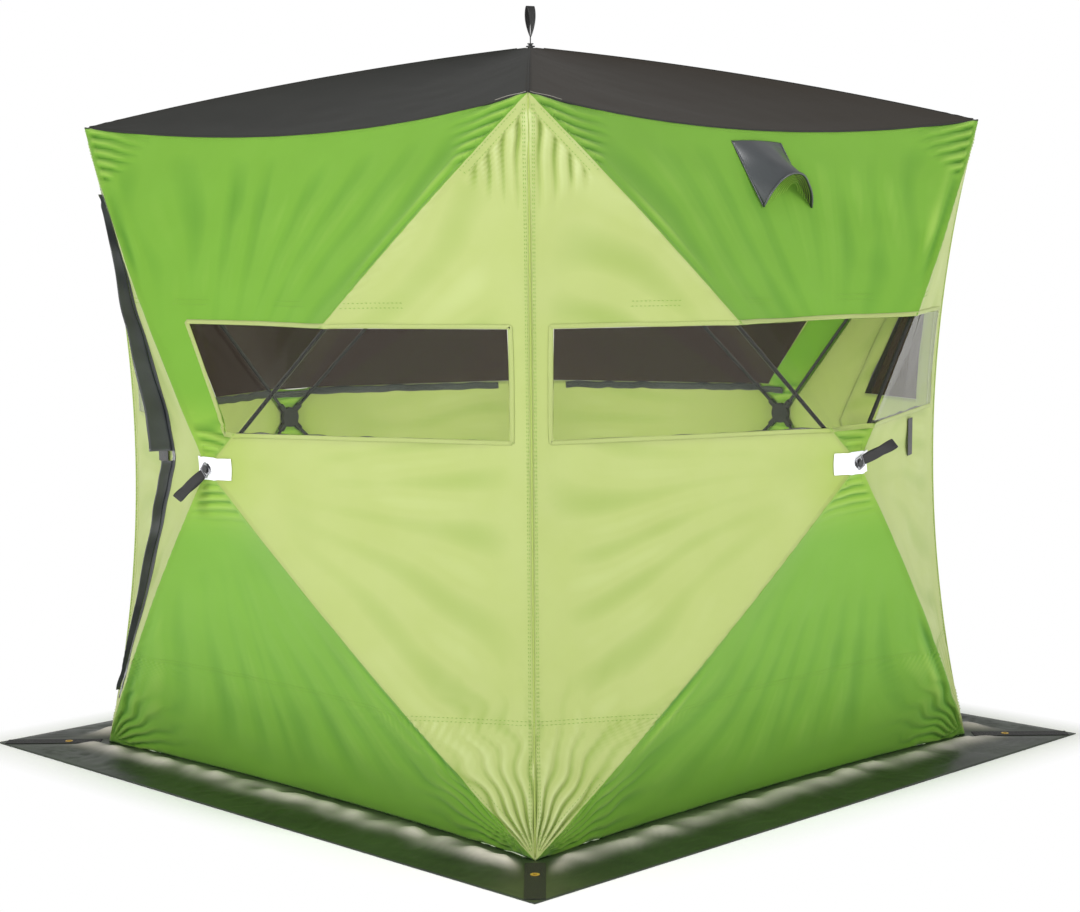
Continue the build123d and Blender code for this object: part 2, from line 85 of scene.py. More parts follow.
# Storm flaps
FLAP_LEAN = 55  # degrees that the storm flaps stand out from the wall
FLAP_INSET = 0.010
FLAP_END_INSET = 0.006
FLAP_START = 0.014
FLAP_END = 0.020
FLAP_TIP_WIDTH = 0.012
UPPER_FLAP_WIDTH = 0.062
LOWER_FLAP_WIDTH = 0.030

# Vent hoods
VENT_ACROSS = -0.018
VENT_MIDDLE = 1.640
VENT_WIDTH = 0.200
VENT_HEIGHT = 0.182
VENT_SKEW = 0.048
VENT_DEPTH = 0.070
VENT_TOP_DEPTH = 0.008
VENT_CUT_BACK = 0.36  # how far up the hood its mouth is cut back at the crown, as a share of its height

# Hub patches and pull straps
PATCH_WIDTH = 0.136
PATCH_HEIGHT = 0.056
STRAP_WIDTH = 0.025
STRAP_LEAN = 24  # degrees that a wall's strap stands out from the wall
DOOR_STRAP_TURN = 227  # degrees anticlockwise from level, seen from outside
PLAIN_STRAP_TURN = 26
WEBBING_THICKNESS = 0.0016

# Sewing
HEM = 0.011
HEM_LIFT = 0.0016
SLEEVE_LENGTH = 0.24  # of the sleeves that hold the pole ends, from the corners
SLEEVE_HALF = 0.017
LEVEL_SEAM = 0.315  # height of the sewn seam across each wall near its foot
ROW_GAP = 0.009  # between two rows of stitches
POCKET_MARKS = ((-0.62, -0.50), (-0.30, -0.17), (0.10, 0.24), (0.42, 0.56))
STITCH = 0.0062
STITCH_PITCH = 0.0095
STITCH_RADIUS = 0.0008
ZIP_TAPE_WIDTH = 0.013
STITCH_LIFT = 0.0012

# Depths and pitches of the cloth's folds
SAG_DEPTH = 0.0032
SMALL_SAG_DEPTH = 0.0014
STACK_DEPTH = 0.0046
STACK_PITCH = 0.024
LEVEL_GATHER_DEPTH = 0.0078
LEVEL_GATHER_PITCH = 0.026
UPRIGHT_GATHER_DEPTH = 0.0056
UPRIGHT_GATHER_PITCH = 0.030
PLEAT_RISE = 0.0030
PLEAT_DIP = 0.0036
FAN_DEPTH = 0.0050
SEAM_GATHER_DEPTH = 0.0030
SEAM_GATHER_PITCH = 0.021
RAY_DEPTH = 0.0016
PUCKER_DEPTH = 0.0009
PUCKER_PITCH = 0.031
ROD_RIDGE = 0.0016

WALLS = {"front": 0, "right": 90, "back": 180, "left": 270}
DOOR_WALLS = ("front", "back")
MID_HALF = (BASE_HALF + EAVE_HALF) / 2
SEAM_INSET = CORNER_BOW / math.sqrt(2)
EAVE_DROP = EAVE_BOW * math.sqrt(0.5)
HUB_DEPTH = -(MID_HALF + HUB_REACH)


def smooth(value, low, high):
    """0 below low, 1 above high, and a smooth step between them."""
    share = np.clip((value - low) / (high - low), 0, 1)
    return share * share * (3 - 2 * share)


def arc(first, middle, last, share):
    """The circular arc from first through middle to last, at shares of its angle."""
    first, middle, last = (np.array(point, float) for point in (first, middle, last))
    chord = (last - first) / 2
    sag = middle - (first + last) / 2
    half, rise = np.linalg.norm(chord), np.linalg.norm(sag)
    radius = (half * half + rise * rise) / (2 * rise)
    angle = (2 * np.asarray(share) - 1) * math.asin(half / radius)
    along = (radius * np.sin(angle) / half)[..., None] * chord
    out = ((radius * np.cos(angle) - radius + rise) / rise)[..., None] * sag
    return (first + last) / 2 + along + out


def seam(side, share):
    """A seam of the front wall, from its left or lower end."""
    top, base = (EAVE_HALF, -EAVE_HALF, CORNER_HEIGHT), (BASE_HALF, -BASE_HALF, SKIRT_HEIGHT)
    middle = MID_HALF - SEAM_INSET
    ends = {
        "right": (base, (middle, -middle, (CORNER_HEIGHT + SKIRT_HEIGHT) / 2), top),
        "top": ((-top[0], *top[1:]), (0, EAVE_DROP - EAVE_HALF, CORNER_HEIGHT - EAVE_DROP), top),
        "bottom": ((-base[0], *base[1:]), (0, GROUND_BOW - BASE_HALF, SKIRT_HEIGHT), base),
    }
    if side == "left":
        return seam("right", share) * np.array([-1, 1, 1])
    return arc(*ends[side], share)


def wall_rim(samples=500):
    """All round the front wall, seen from its hub: the direction and distance of the seam, its depth, and the
    share of a pole's flex there, which is 1 at a pole and falls as a parabola to each panel's middle."""
    share = np.linspace(0, 1, samples)
    flex = 1 - (1 - MIDDLE_FLEX) * 4 * share * (1 - share)
    rows = []
    for side in ("bottom", "right", "top", "left"):
        line = seam(side, share)
        rise = line[:, 2] - HUB_HEIGHT
        rows.append([np.arctan2(rise, line[:, 0]), np.hypot(line[:, 0], rise), line[:, 1], flex])
    return np.concatenate(rows, axis=1)


RIM = wall_rim()


def round_rim(across, height):
    """The seam's distance from the hub, its depth and the flex share, in a place's direction from the hub."""
    direction = np.arctan2(height - HUB_HEIGHT, across)
    return [np.interp(direction, RIM[0], row, period=2 * math.pi) for row in RIM[1:]]


def hub_share(across, height):
    """How far a place is from the hub, as a share of the seam's distance in the same direction."""
    return np.hypot(across, height - HUB_HEIGHT) / round_rim(across, height)[0]


def wall_depth(across, height):
    """The wall's Y: straight from the hub to the seam, less 4 s (1 - s) of the pole's flex at a share s."""
    _, depth, flex = round_rim(across, height)
    share = hub_share(across, height)
    return HUB_DEPTH + share * (depth - HUB_DEPTH) - 4 * share * (1 - share) * WALL_POLE_BOW * flex


def wall_normal(across, height, step=0.002):
    """The wall's outward direction, from the slopes of its depth across and up."""
    slope_across = (wall_depth(across + step, height) - wall_depth(across - step, height)) / (2 * step)
    slope_up = (wall_depth(across, height + step) - wall_depth(across, height - step)) / (2 * step)
    normal = np.stack([slope_across, -np.ones_like(slope_across), slope_up], axis=-1)
    return normal / np.linalg.norm(normal, axis=-1, keepdims=True)


def wall_point(across, height, lift=0.0):
    """Points of the front wall at a distance in front of its cloth."""
    base = np.stack([across, wall_depth(across, height), height], axis=-1)
    return base + wall_normal(across, height) * np.asarray(lift)[..., None]


def pole_line(height):
    """How far from a wall's middle its poles are, at a height."""
    up = EAVE_HALF * (height - HUB_HEIGHT) / (CORNER_HEIGHT - HUB_HEIGHT)
    down = BASE_HALF * (HUB_HEIGHT - height) / (HUB_HEIGHT - SKIRT_HEIGHT)
    return np.maximum(np.maximum(up, down), HUB_HOLE * 0.7)


def seam_line(height):
    """How far from a wall's middle its corner seams are, at a height."""
    line = seam("right", np.linspace(0, 1, 300))
    return np.interp(height, line[:, 2], line[:, 0])


def eave_line(across):
    """The height of a wall's eave seam."""
    line = seam("top", np.linspace(0, 1, 300))
    return np.interp(across, line[:, 0], line[:, 2])


def zip_line(height):
    """How far across the front wall the door's zip side is: two straight runs that meet at its point."""
    ends = np.array([DOOR_BOTTOM, HUB_HEIGHT, DOOR_TOP])
    tips = DOOR_JAMB + DOOR_TIP - seam_line(ends)
    tips[1] = -DOOR_REACH
    return np.interp(height, ends, tips)


def waves(points, wavelength, seed, count=9):
    """Smooth noise from -1 to 1: the mean of sine waves in random directions, near one wavelength."""
    dice = np.random.default_rng(seed)
    total = 0
    for _ in range(count):
        direction = dice.normal(size=points.shape[-1])
        direction *= 2 * math.pi / (wavelength * dice.uniform(0.7, 1.5)) / np.linalg.norm(direction)
        total = total + np.sin(points @ direction + dice.uniform(0, 2 * math.pi))
    return total / count * 1.8


def pole_distance(across, height):
    """Distance from the nearest pole line, + on the side panels, and the share of the pole's length from the
    hub, in the wall's own plane."""
    rise = height - HUB_HEIGHT
    half = np.where(rise > 0, EAVE_HALF, BASE_HALF)
    run = np.where(rise > 0, CORNER_HEIGHT, SKIRT_HEIGHT) - HUB_HEIGHT
    length = np.hypot(half, run)
    beside = (np.abs(across) * np.abs(run) - np.abs(rise) * half) / length
    along = (np.abs(across) * half + rise * run) / length
    return beside, along / length


def bell(value, middle, width):
    """A bell curve: e to the minus square of the distance from its middle, in widths."""
    return np.exp(-(((value - middle) / width) ** 2))


def folds(distance, pitch, sharpness=0.0, lag=0.0):
    """Folds of a pitch: a sine wave, and its own overtone, which sharpens it."""
    turn = 2 * math.pi * distance / pitch
    return np.sin(turn) + sharpness * np.sin(2 * turn + lag)


def sleeve_gathers(across, height, beside, along, wander):
    """Gathers along the upper sleeves: level on green panels, and parallel to the seam on lime ones."""
    inner, outer = np.maximum(-beside, 0), np.maximum(beside, 0)
    sleeve = smooth(along, 0.79, 0.84) * smooth(1.0 - along, 0.0, 0.02) * (height > HUB_HEIGHT)
    level = folds(height - 0.18 * np.abs(across) + 0.003 * wander, LEVEL_GATHER_PITCH, 0.35, 0.7)
    upright = folds(seam_line(height) - np.abs(across) + 0.004 * wander, UPRIGHT_GATHER_PITCH, 0.4, 1.1)
    resting = smooth(inner, 0.004, 0.014) * np.exp(-inner / 0.075)
    hanging = smooth(outer, 0.016, 0.026) * np.exp(-np.maximum(outer - SLEEVE_HALF, 0) / 0.07)
    return sleeve * (LEVEL_GATHER_DEPTH * resting * level + UPRIGHT_GATHER_DEPTH * hanging * upright)


def lower_folds(across, height, beside, wander):
    """Folds that fan from the lower corners, and short gathers under the level seam near the poles."""
    to_corner, rise = BASE_HALF - np.abs(across), height - SKIRT_HEIGHT
    away = np.hypot(to_corner, rise)
    angle = 44 * np.arctan2(rise, to_corner) + 2.2 * wander
    fan = smooth(away, 0.015, 0.09) * bell(away, 0, 0.26) * (height < HUB_HEIGHT)
    drop = LEVEL_SEAM - height
    under = smooth(drop, 0.0, 0.008) * np.exp(-np.maximum(drop, 0) / 0.045) * np.exp(-np.abs(beside) / 0.09)
    gathers = SEAM_GATHER_DEPTH * folds(np.abs(across) - 0.3 * height, SEAM_GATHER_PITCH)
    return FAN_DEPTH * fan * (np.sin(angle) + 0.3 * np.sin(2 * angle + 0.5)) + under * gathers


def creases(across, height, seed):
    """How far the sewn, stretched cloth stands off the smooth wall, and the part of it that paints shade and
    highlight
    on the cloth: its folds and a quarter of its slow sags."""
    place = np.stack([across, height], axis=-1)
    share = hub_share(across, height)
    beside, along = pole_distance(across, height)
    inner = np.maximum(-beside, 0)
    wander = waves(place, 0.11, seed + 3)
    held = smooth(np.abs(beside), 0.0, 0.10) * smooth(1 - share, 0.0, 0.10)
    slow, quick = waves(place, 0.42, seed), waves(place, 0.16, seed + 1)
    sag = held * (SAG_DEPTH * slow + SMALL_SAG_DEPTH * quick - 0.002)
    # Level folds stacked over and under the hub, between the poles
    level = np.abs(height - HUB_HEIGHT)
    stack = bell(level, 0.075, 0.050) * smooth(inner, 0.0, 0.02)
    relief = STACK_DEPTH * stack * folds(level + 0.08 * across + 0.003 * wander, STACK_PITCH)
    relief += sleeve_gathers(across, height, beside, along, wander)
    # A pleat beside each pole, past its sleeve
    beyond = smooth(along, 0.42, 0.62) * smooth(0.86 - along, 0.0, 0.10)
    pleat = PLEAT_RISE * bell(inner, 0.040, 0.012) - PLEAT_DIP * bell(inner, 0.016, 0.009)
    relief += beyond * (0.7 + 0.6 * waves(place, 0.30, seed + 6)) * pleat
    relief += lower_folds(across, height, beside, wander)
    # Long shallow folds from one corner of a panel to the next
    lean = np.arctan2(height - HUB_HEIGHT, np.abs(across))
    ray = np.sin(34 * lean + 3 * waves(place, 0.6, seed + 4))
    relief += RAY_DEPTH * smooth(share, 0.2, 0.8) * smooth(1 - share, 0.02, 0.2) * ray
    # Puckers along the seams
    from_seam = (1 - share) * round_rim(across, height)[0]
    pucker = np.exp(-from_seam / 0.022) + 0.6 * np.exp(-np.abs(beside) / 0.016)
    slant = 2 * math.pi * (height * 0.8 + across * 0.6) / PUCKER_PITCH
    ripple = np.sin(slant + 2.5 * waves(place, 0.12, seed + 5))
    relief += PUCKER_DEPTH * pucker * ripple * smooth(1 - share, 0.0, 0.012)
    near_hub = smooth(np.hypot(across, height - HUB_HEIGHT), 0.02, 0.05)
    ridge = ROD_RIDGE * bell(beside, 0, 0.009)
    return (relief + sag + ridge) * near_hub, (relief + 0.25 * sag) * near_hub


def turned(points, wall):
    """Points of the front wall, turned about Z to another wall."""
    angle = math.radians(WALLS[wall])
    cosine, sine = math.cos(angle), math.sin(angle)
    turn = np.array([[cosine, sine, 0], [-sine, cosine, 0], [0, 0, 1]])
    return points @ turn


def wall_seed(wall):
    """The seed of a wall's own creases."""
    return 11 * list(WALLS).index(wall)


def grid_faces(rows, columns, start=0, keep=None):
    """Four-sided faces of a grid, which face the viewer where rows go up and columns go right."""
    index = np.arange(rows * columns).reshape(rows, columns) + start
    quads = np.stack([index[:-1, :-1], index[:-1, 1:], index[1:, 1:], index[1:, :-1]], axis=-1)
    return (quads[keep] if keep is not None else quads.reshape(-1, 4)).tolist()


def piece(name, points, faces, material, body="shell", flat=None, values=None):
    """A smooth-shaded mesh object. flat gives each point's place on the uncut cloth in metres, for the weave,
    and values gives numbers that the material reads at each point."""
    mesh = bpy.data.meshes.new(name)
    mesh.from_pydata(points.reshape(-1, 3).tolist(), [], faces)
    if flat is not None:
        corner = np.empty(len(mesh.loops), np.int32)
        mesh.loops.foreach_get("vertex_index", corner)
        layer = mesh.uv_layers.new(name="cloth")
        layer.data.foreach_set("uv", flat.reshape(-1, 2)[corner].astype(np.float32).ravel())
    for key, numbers in (values or {}).items():
        attribute = mesh.attributes.new(key, "FLOAT", "POINT")
        attribute.data.foreach_set("value", numbers.astype(np.float32).ravel())
    mesh.shade_smooth()
    mesh.materials.append(material)
    made = bpy.data.objects.new(name, mesh)
    bpy.context.scene.collection.objects.link(made)
    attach(made, body)
    return made


def weld(made, gap=0.0002):
    """Joins points that coincide, and drops points that no face uses."""
    mesh = made.data
    work = bmesh.new()
    work.from_mesh(mesh)
    bmesh.ops.delete(work, geom=[v for v in work.verts if not v.link_faces], context="VERTS")
    bmesh.ops.remove_doubles(work, verts=work.verts, dist=gap)
    work.to_mesh(mesh)
    work.free()
    return made


def thicken(made, thickness):
    """Gives a sheet its thickness behind its face."""
    modifier = made.modifiers.new("thickness", "SOLIDIFY")
    modifier.thickness = thickness
    modifier.offset = -1
    return made


def columns_between(edges, counts):
    """Across values of a grid: each row is divided evenly between neighbouring edge lines."""
    zones = [
        left[:, None] + (right - left)[:, None] * np.linspace(0, 1, count + 1)[None, :-1]
        for left, right, count in zip(edges[:-1], edges[1:], counts)
    ]
    return np.concatenate([*zones, edges[-1][:, None]], axis=1)


def heights_through(first, *runs):
    """Heights from the first, through each run's end, at about each run's step."""
    heights = [first]
    for end, step in runs:
        start = heights[-1]
        heights += np.linspace(start, end, max(2, round((end - start) / step)) + 1)[1:].tolist()
    return np.array(heights)


def wall_cloth(name, wall, grid, material, body="shell"):
    """A creased panel of a wall's cloth. grid is its across and height values, and the faces of a hole."""
    across, height, hole = grid
    relief, fold_shading = creases(across, height, wall_seed(wall))
    points = turned(wall_point(across, height, relief), wall)
    # fold_shading paints shade in the valleys of folds and highlight on their crests.
    values = {"from_hub": hub_share(across, height), "fold_shading": np.clip(fold_shading / FOLD_DEPTH, -1, 1)}
    flat = np.stack([across, height], axis=-1)
    faces = grid_faces(*across.shape, keep=~hole)
    return thicken(weld(piece(name, points, faces, material, body, flat, values)), CLOTH)


# Materials
def linear(hex_colour):
    """An sRGB hex colour as linear red, green, blue and alpha."""
    parts = [int(hex_colour[i : i + 2], 16) / 255 for i in (1, 3, 5)]
    return [c / 12.92 if c <= 0.04045 else ((c + 0.055) / 1.055) ** 2.4 for c in parts] + [1.0]


def add_node(tree, kind, sockets=None, **settings):
    """Adds a node, sets its own settings, and gives each named input a value or a link."""
    made = tree.nodes.new(kind)
    for key, value in settings.items():
        setattr(made, key, value)
    for key, value in (sockets or {}).items():
        if isinstance(value, bpy.types.NodeSocket):
            tree.links.new(value, made.inputs[key])
        else:
            made.inputs[key].default_value = value
    return made


def new_material(name):
    """An empty material and its node tree."""
    made = bpy.data.materials.new(name)
    made.use_nodes = True
    made.node_tree.nodes.clear()
    return made, made.node_tree


def weave_height(tree, coordinates, pitch):
    """Plain weave: warp and weft waves, one thread a pitch, added."""
    threads = [
        add_node(
            tree,
            "ShaderNodeTexWave",
            {"Vector": coordinates, "Scale": 1 / (3.2 * pitch), "Distortion": 0.6, "Detail": 1.0},
            bands_direction=direction,
        ).outputs["Fac"]
        for direction in ("X", "Y")
    ]
    return add_node(tree, "ShaderNodeMath", {0: threads[0], 1: threads[1]}, operation="ADD").outputs[0]


DAYLIGHT_THROUGH = 0.38  # share of a shell cloth's look that is light coming through it


def shell_cloth(name, near_hub, far, glow, valley_shade, ridge):
    """Coated Oxford polyester: a tight weave that lets daylight through, so it glows. Its colour runs from
    near_hub to far with the share of the way from the hub, a painted gradient of that daylight. It is paler
    on the crests of folds, a painted highlight, and deeper in their valleys, a painted shade. Threads are
    drawn 2.2 mm apart, coarser than the real 0.5 mm, so that they show."""
    made, tree = new_material(name)
    cloth = add_node(tree, "ShaderNodeUVMap", uv_map="cloth").outputs["UV"]
    weave = weave_height(tree, cloth, 0.0022)
    noise = add_node(tree, "ShaderNodeTexNoise", {"Vector": cloth, "Scale": 7.0, "Detail": 3.0})
    patches = add_node(
        tree,
        "ShaderNodeMapRange",
        {"Value": noise.outputs["Fac"], "From Min": 0.35, "From Max": 0.7, "To Max": 0.28},
    ).outputs["Result"]
    # Painted light: the colour runs from near_hub to far with the share of the way from the hub, for daylight
    # through the cloth.
    share = add_node(tree, "ShaderNodeAttribute", attribute_name="from_hub").outputs["Fac"]
    painted_glow_ramp = add_node(tree, "ShaderNodeValToRGB", {"Fac": share})
    painted_glow_ramp.color_ramp.interpolation = "EASE"
    stops = painted_glow_ramp.color_ramp.elements
    stops[0].position, stops[0].color = 0.03, linear(near_hub)
    stops[1].position, stops[1].color = 0.24, linear(far)
    colour = add_node(
        tree, "ShaderNodeMix", {0: patches, 6: painted_glow_ramp.outputs["Color"], 7: linear(glow)}, data_type="RGBA"
    ).outputs[2]
    # Painted shade in the valleys of folds, and painted highlight on their crests.
    fold_shading = add_node(tree, "ShaderNodeAttribute", attribute_name="fold_shading").outputs["Fac"]
    for tint, crest, most in ((valley_shade, -1.0, 0.75), (ridge, 1.0, 0.55)):
        amount = add_node(
            tree,
            "ShaderNodeMapRange",
            {"Value": fold_shading, "From Min": 0.12 * crest, "From Max": crest, "To Max": most},
        ).outputs["Result"]
        colour = add_node(
            tree, "ShaderNodeMix", {0: amount, 6: colour, 7: linear(tint)}, data_type="RGBA"
        ).outputs[2]
    bump = add_node(tree, "ShaderNodeBump", {"Height": weave, "Strength": 0.25, "Distance": 0.0003})
    normal = bump.outputs["Normal"]
    face = add_node(
        tree,
        "ShaderNodeBsdfPrincipled",
        {
            "Base Color": colour,
            "Roughness": 0.62,
            "Specular IOR Level": 0.35,
            "Sheen Weight": 0.15,
            "Normal": normal,
        },
    ).outputs[0]
    back = add_node(tree, "ShaderNodeBsdfTranslucent", {"Color": colour, "Normal": normal}).outputs[0]
    shown = add_node(tree, "ShaderNodeMixShader", {0: DAYLIGHT_THROUGH, 1: face, 2: back}).outputs[0]
    add_node(tree, "ShaderNodeOutputMaterial", {"Surface": shown})
    return made


def dark_cloth(name, colour, light, pitch, roughness, coat=0.0, second=None, value="tone"):
    """Coated polyester in a dark colour: a matt weave under a thin coating that shines along folds. A second
    colour is mixed in where a value kept on the mesh says so. Threads are drawn a pitch of 3 or 4 mm apart,
    coarser than the real 0.5 mm, so that they show."""
    made, tree = new_material(name)
    place = add_node(tree, "ShaderNodeTexCoord").outputs["Object"]
    weave = weave_height(tree, place, pitch)
    noise = add_node(tree, "ShaderNodeTexNoise", {"Vector": place, "Scale": 6.0, "Detail": 5.0})
    dust = add_node(
        tree, "ShaderNodeMapRange", {"Value": noise.outputs["Fac"], "From Min": 0.35, "From Max": 0.75}
    ).outputs["Result"]
    tone = add_node(
        tree, "ShaderNodeMix", {0: dust, 6: linear(colour), 7: linear(light)}, data_type="RGBA"
    ).outputs[2]
    # The second colour is painted light: a lighter, browner tone on the roof's right and left gores, and a
    # pale grey painted sheen on the skirt's crest.
    if second:
        where = add_node(tree, "ShaderNodeAttribute", attribute_name=value).outputs["Fac"]
        tone = add_node(
            tree, "ShaderNodeMix", {0: where, 6: tone, 7: linear(second)}, data_type="RGBA"
        ).outputs[2]
    bump = add_node(tree, "ShaderNodeBump", {"Height": weave, "Strength": 0.3, "Distance": 0.0003})
    face = add_node(
        tree,
        "ShaderNodeBsdfPrincipled",
        {
            "Base Color": tone,
            "Roughness": roughness,
            "Coat Weight": coat,
            "Coat Roughness": 0.35,
            "Normal": bump.outputs["Normal"],
        },
    )
    add_node(tree, "ShaderNodeOutputMaterial", {"Surface": face.outputs[0]})
    return made


def tinted_film(name):
    """Soft PVC window film: clear, with slow ripples, and glossier the more it is seen from the side."""
    made, tree = new_material(name)
    place = add_node(tree, "ShaderNodeTexCoord").outputs["Object"]
    noise = add_node(tree, "ShaderNodeTexNoise", {"Vector": place, "Scale": 9.0, "Detail": 2.0})
    ripple = noise.outputs["Fac"]
    bump = add_node(tree, "ShaderNodeBump", {"Height": ripple, "Strength": 0.35, "Distance": 0.004})
    normal = bump.outputs["Normal"]
    clear = add_node(tree, "ShaderNodeBsdfTransparent", {"Color": [0.95, 0.95, 0.90, 1]}).outputs[0]
    gloss = add_node(
        tree, "ShaderNodeBsdfGlossy", {"Color": [0.4, 0.4, 0.4, 1], "Roughness": 0.08, "Normal": normal}
    ).outputs[0]
    facing = add_node(tree, "ShaderNodeLayerWeight", {"Blend": 0.5, "Normal": normal}).outputs["Facing"]
    grazing = add_node(tree, "ShaderNodeMath", {0: facing, 1: 4.0}, operation="POWER").outputs[0]
    edge = add_node(tree, "ShaderNodeMapRange", {"Value": grazing, "To Min": 0.03, "To Max": 0.45})
    sockets = {0: edge.outputs["Result"], 1: clear, 2: gloss}
    shown = add_node(tree, "ShaderNodeMixShader", sockets).outputs[0]
    add_node(tree, "ShaderNodeOutputMaterial", {"Surface": shown})
    return made


def webbing_tape(name, colour, light):
    """Polypropylene webbing: close ribs 1.6 mm apart across a black tape."""
    made, tree = new_material(name)
    place = add_node(tree, "ShaderNodeTexCoord").outputs["Object"]
    ribs = weave_height(tree, place, 0.0016)
    shine = add_node(tree, "ShaderNodeMapRange", {"Value": ribs, "From Max": 2.0}).outputs["Result"]
    tone = add_node(
        tree, "ShaderNodeMix", {0: shine, 6: linear(colour), 7: linear(light)}, data_type="RGBA"
    ).outputs[2]
    bump = add_node(tree, "ShaderNodeBump", {"Height": ribs, "Strength": 0.6, "Distance": 0.0005})
    sockets = {"Base Color": tone, "Roughness": 0.55, "Normal": bump.outputs["Normal"]}
    face = add_node(tree, "ShaderNodeBsdfPrincipled", sockets)
    add_node(tree, "ShaderNodeOutputMaterial", {"Surface": face.outputs[0]})
    return made


def solid_finish(name, colour, worn, roughness, grain, depth=0.0001, metallic=0.0):
    """A moulded, pressed, drawn or spun finish: fine grain in the surface, between two tones."""
    made, tree = new_material(name)
    place = add_node(tree, "ShaderNodeTexCoord").outputs["Object"]
    sockets = {"Vector": place, "Scale": grain, "Detail": 4.0}
    noise = add_node(tree, "ShaderNodeTexNoise", sockets).outputs["Fac"]
    tone = add_node(
        tree, "ShaderNodeMix", {0: noise, 6: linear(colour), 7: linear(worn)}, data_type="RGBA"
    ).outputs[2]
    bump = add_node(tree, "ShaderNodeBump", {"Height": noise, "Strength": 0.3, "Distance": depth})
    face = add_node(
        tree,
        "ShaderNodeBsdfPrincipled",
        {"Base Color": tone, "Roughness": roughness, "Metallic": metallic, "Normal": bump.outputs["Normal"]},
    )
    add_node(tree, "ShaderNodeOutputMaterial", {"Surface": face.outputs[0]})
    return made


# Colours: near the hub and far from it (a painted gradient of light through the cloth), a glow, a painted
# valley shade and a painted crest highlight.
GREEN = shell_cloth("green Oxford polyester", "#98BC44", "#78AB30", "#82B43E", "#488814", "#ACCC5E")
LIME = shell_cloth("lime Oxford polyester", "#A6B95A", "#B3BF76", "#BFC88C", "#8AA63E", "#D6DEAA")
# The roof's second colour is painted light on its right and left gores.
ROOF = dark_cloth("charcoal roof polyester", "#171813", "#1C1D18", 0.003, 0.8, 0.0, "#251F16")
# The skirt's pale grey second colour is a painted sheen along its crest.
SKIRT = dark_cloth("olive tarpaulin", "#1B2417", "#28361F", 0.004, 0.42, 0.15, "#C2BCB1", "crest")
COATED = dark_cloth("charcoal coated polyester", "#25282A", "#393D40", 0.003, 0.35, 0.4)
FILM = tinted_film("smoky PVC film")
WEBBING = webbing_tape("black polypropylene webbing", "#070707", "#191918")
TAPE = solid_finish("white reflective tape", "#F4F5F6", "#E4E7EA", 0.35, 900.0)
RODS = solid_finish("pultruded glass fibre", "#16171A", "#202226", 0.28, 140.0)
HUB = solid_finish("moulded nylon", "#1B1C1D", "#252627", 0.5, 220.0, 0.0003)
STEEL = solid_finish("drawn steel wire", "#8C8C90", "#A0A0A4", 0.28, 400.0, metallic=1.0)
BRASS = solid_finish("pressed brass", "#E6C04E", "#C79A34", 0.38, 300.0, metallic=0.6)
GREEN_THREAD = solid_finish("green sewing thread", "#76A23A", "#8DB54E", 0.7, 500.0)
PALE_THREAD = solid_finish("grey sewing thread", "#8A887E", "#A3A196", 0.7, 500.0)


# Wall panels. Rows and columns are closest where the cloth has folds
NEAR = 1e-6
LOWER_FOLDS_TOP = 0.35
UPPER_FOLDS_FOOT = 1.45
BELOW_HUB = HUB_HEIGHT - HUB_HOLE * 0.7
ABOVE_HUB = HUB_HEIGHT + HUB_HOLE * 0.7


def between_shares(heights, low, high, inner, line, outer):
    """A line between two others: as it is from low to high, and held below and above at its end's share of
    the way between them. Also says which heights are from low to high."""
    share = (line - inner) / np.maximum(outer - inner, NEAR)
    inside = (heights >= low - NEAR) & (heights <= high + NEAR)
    share = np.where(inside, share, np.where(heights < low, share[inside][0], share[inside][-1]))
    return inner + (outer - inner) * share, inside


def panel_grid(heights, edges, counts, opened=False, open_zones=(), mirrored=False):
    """A panel's across and height values, a row to each height, and the faces of its hole. Edge lines divide
    the rows into zones of counted columns, and the hole is the open zones between opened rows."""
    across = columns_between(edges, counts)
    height = np.broadcast_to(heights[:, None], across.shape)
    opened = np.broadcast_to(opened, heights.shape)
    in_zone = np.isin(np.repeat(np.arange(len(counts)), counts), open_zones)
    hole = (opened[:-1] & opened[1:])[:, None] & in_zone
    if mirrored:
        return -across[:, ::-1], height[:, ::-1], hole[:, ::-1]
    return across, height, hole


def side_panel(mirrored):
    """The cloth between a wall's poles and a corner seam, with the window left out up to its jamb."""
    heights = heights_through(
        SKIRT_HEIGHT, (LOWER_FOLDS_TOP, 0.007), (SILL, 0.014), (HEAD, 0.020), (CORNER_HEIGHT, 0.012)
    )
    inner, outer = pole_line(heights), np.maximum(seam_line(heights), pole_line(heights))
    jamb, banded = between_shares(heights, SILL, HEAD, inner, outer - JAMB, outer)
    return panel_grid(heights, [inner, jamb, outer], [46, 5], banded, [0], mirrored)


def top_panel(wall):
    """The cloth above the hub, in rows that bend to the eave, with the window left out."""
    heights = heights_through(
        ABOVE_HUB, (SILL, 0.006), (HEAD, 0.020), (UPPER_FOLDS_FOOT, 0.014), (CORNER_HEIGHT, 0.006)
    )
    half = pole_line(heights)
    slant, banded = between_shares(heights, SILL, HEAD, -half, SLANT_GAP - half, half)
    open_zones = [1, 2]
    if wall not in DOOR_WALLS:
        slant, open_zones = -0.6 * half, [0, 1, 2]
    edges = [-half, slant, 0.70 * half, half]
    across, height, hole = panel_grid(heights, edges, [28, 30, 36], banded, open_zones)
    drop = CORNER_HEIGHT - eave_line(across / half[:, None] * EAVE_HALF)
    return across, height - drop * smooth(heights, HEAD, CORNER_HEIGHT)[:, None] ** 0.8, hole


def bottom_panel():
    """The cloth below the hub: level rows between the lower poles."""
    heights = heights_through(SKIRT_HEIGHT, (LOWER_FOLDS_TOP, 0.007), (0.72, 0.014), (BELOW_HUB, 0.006))
    half = pole_line(heights)
    return panel_grid(heights, [-half, -0.72 * half, 0.72 * half, half], [36, 34, 36])


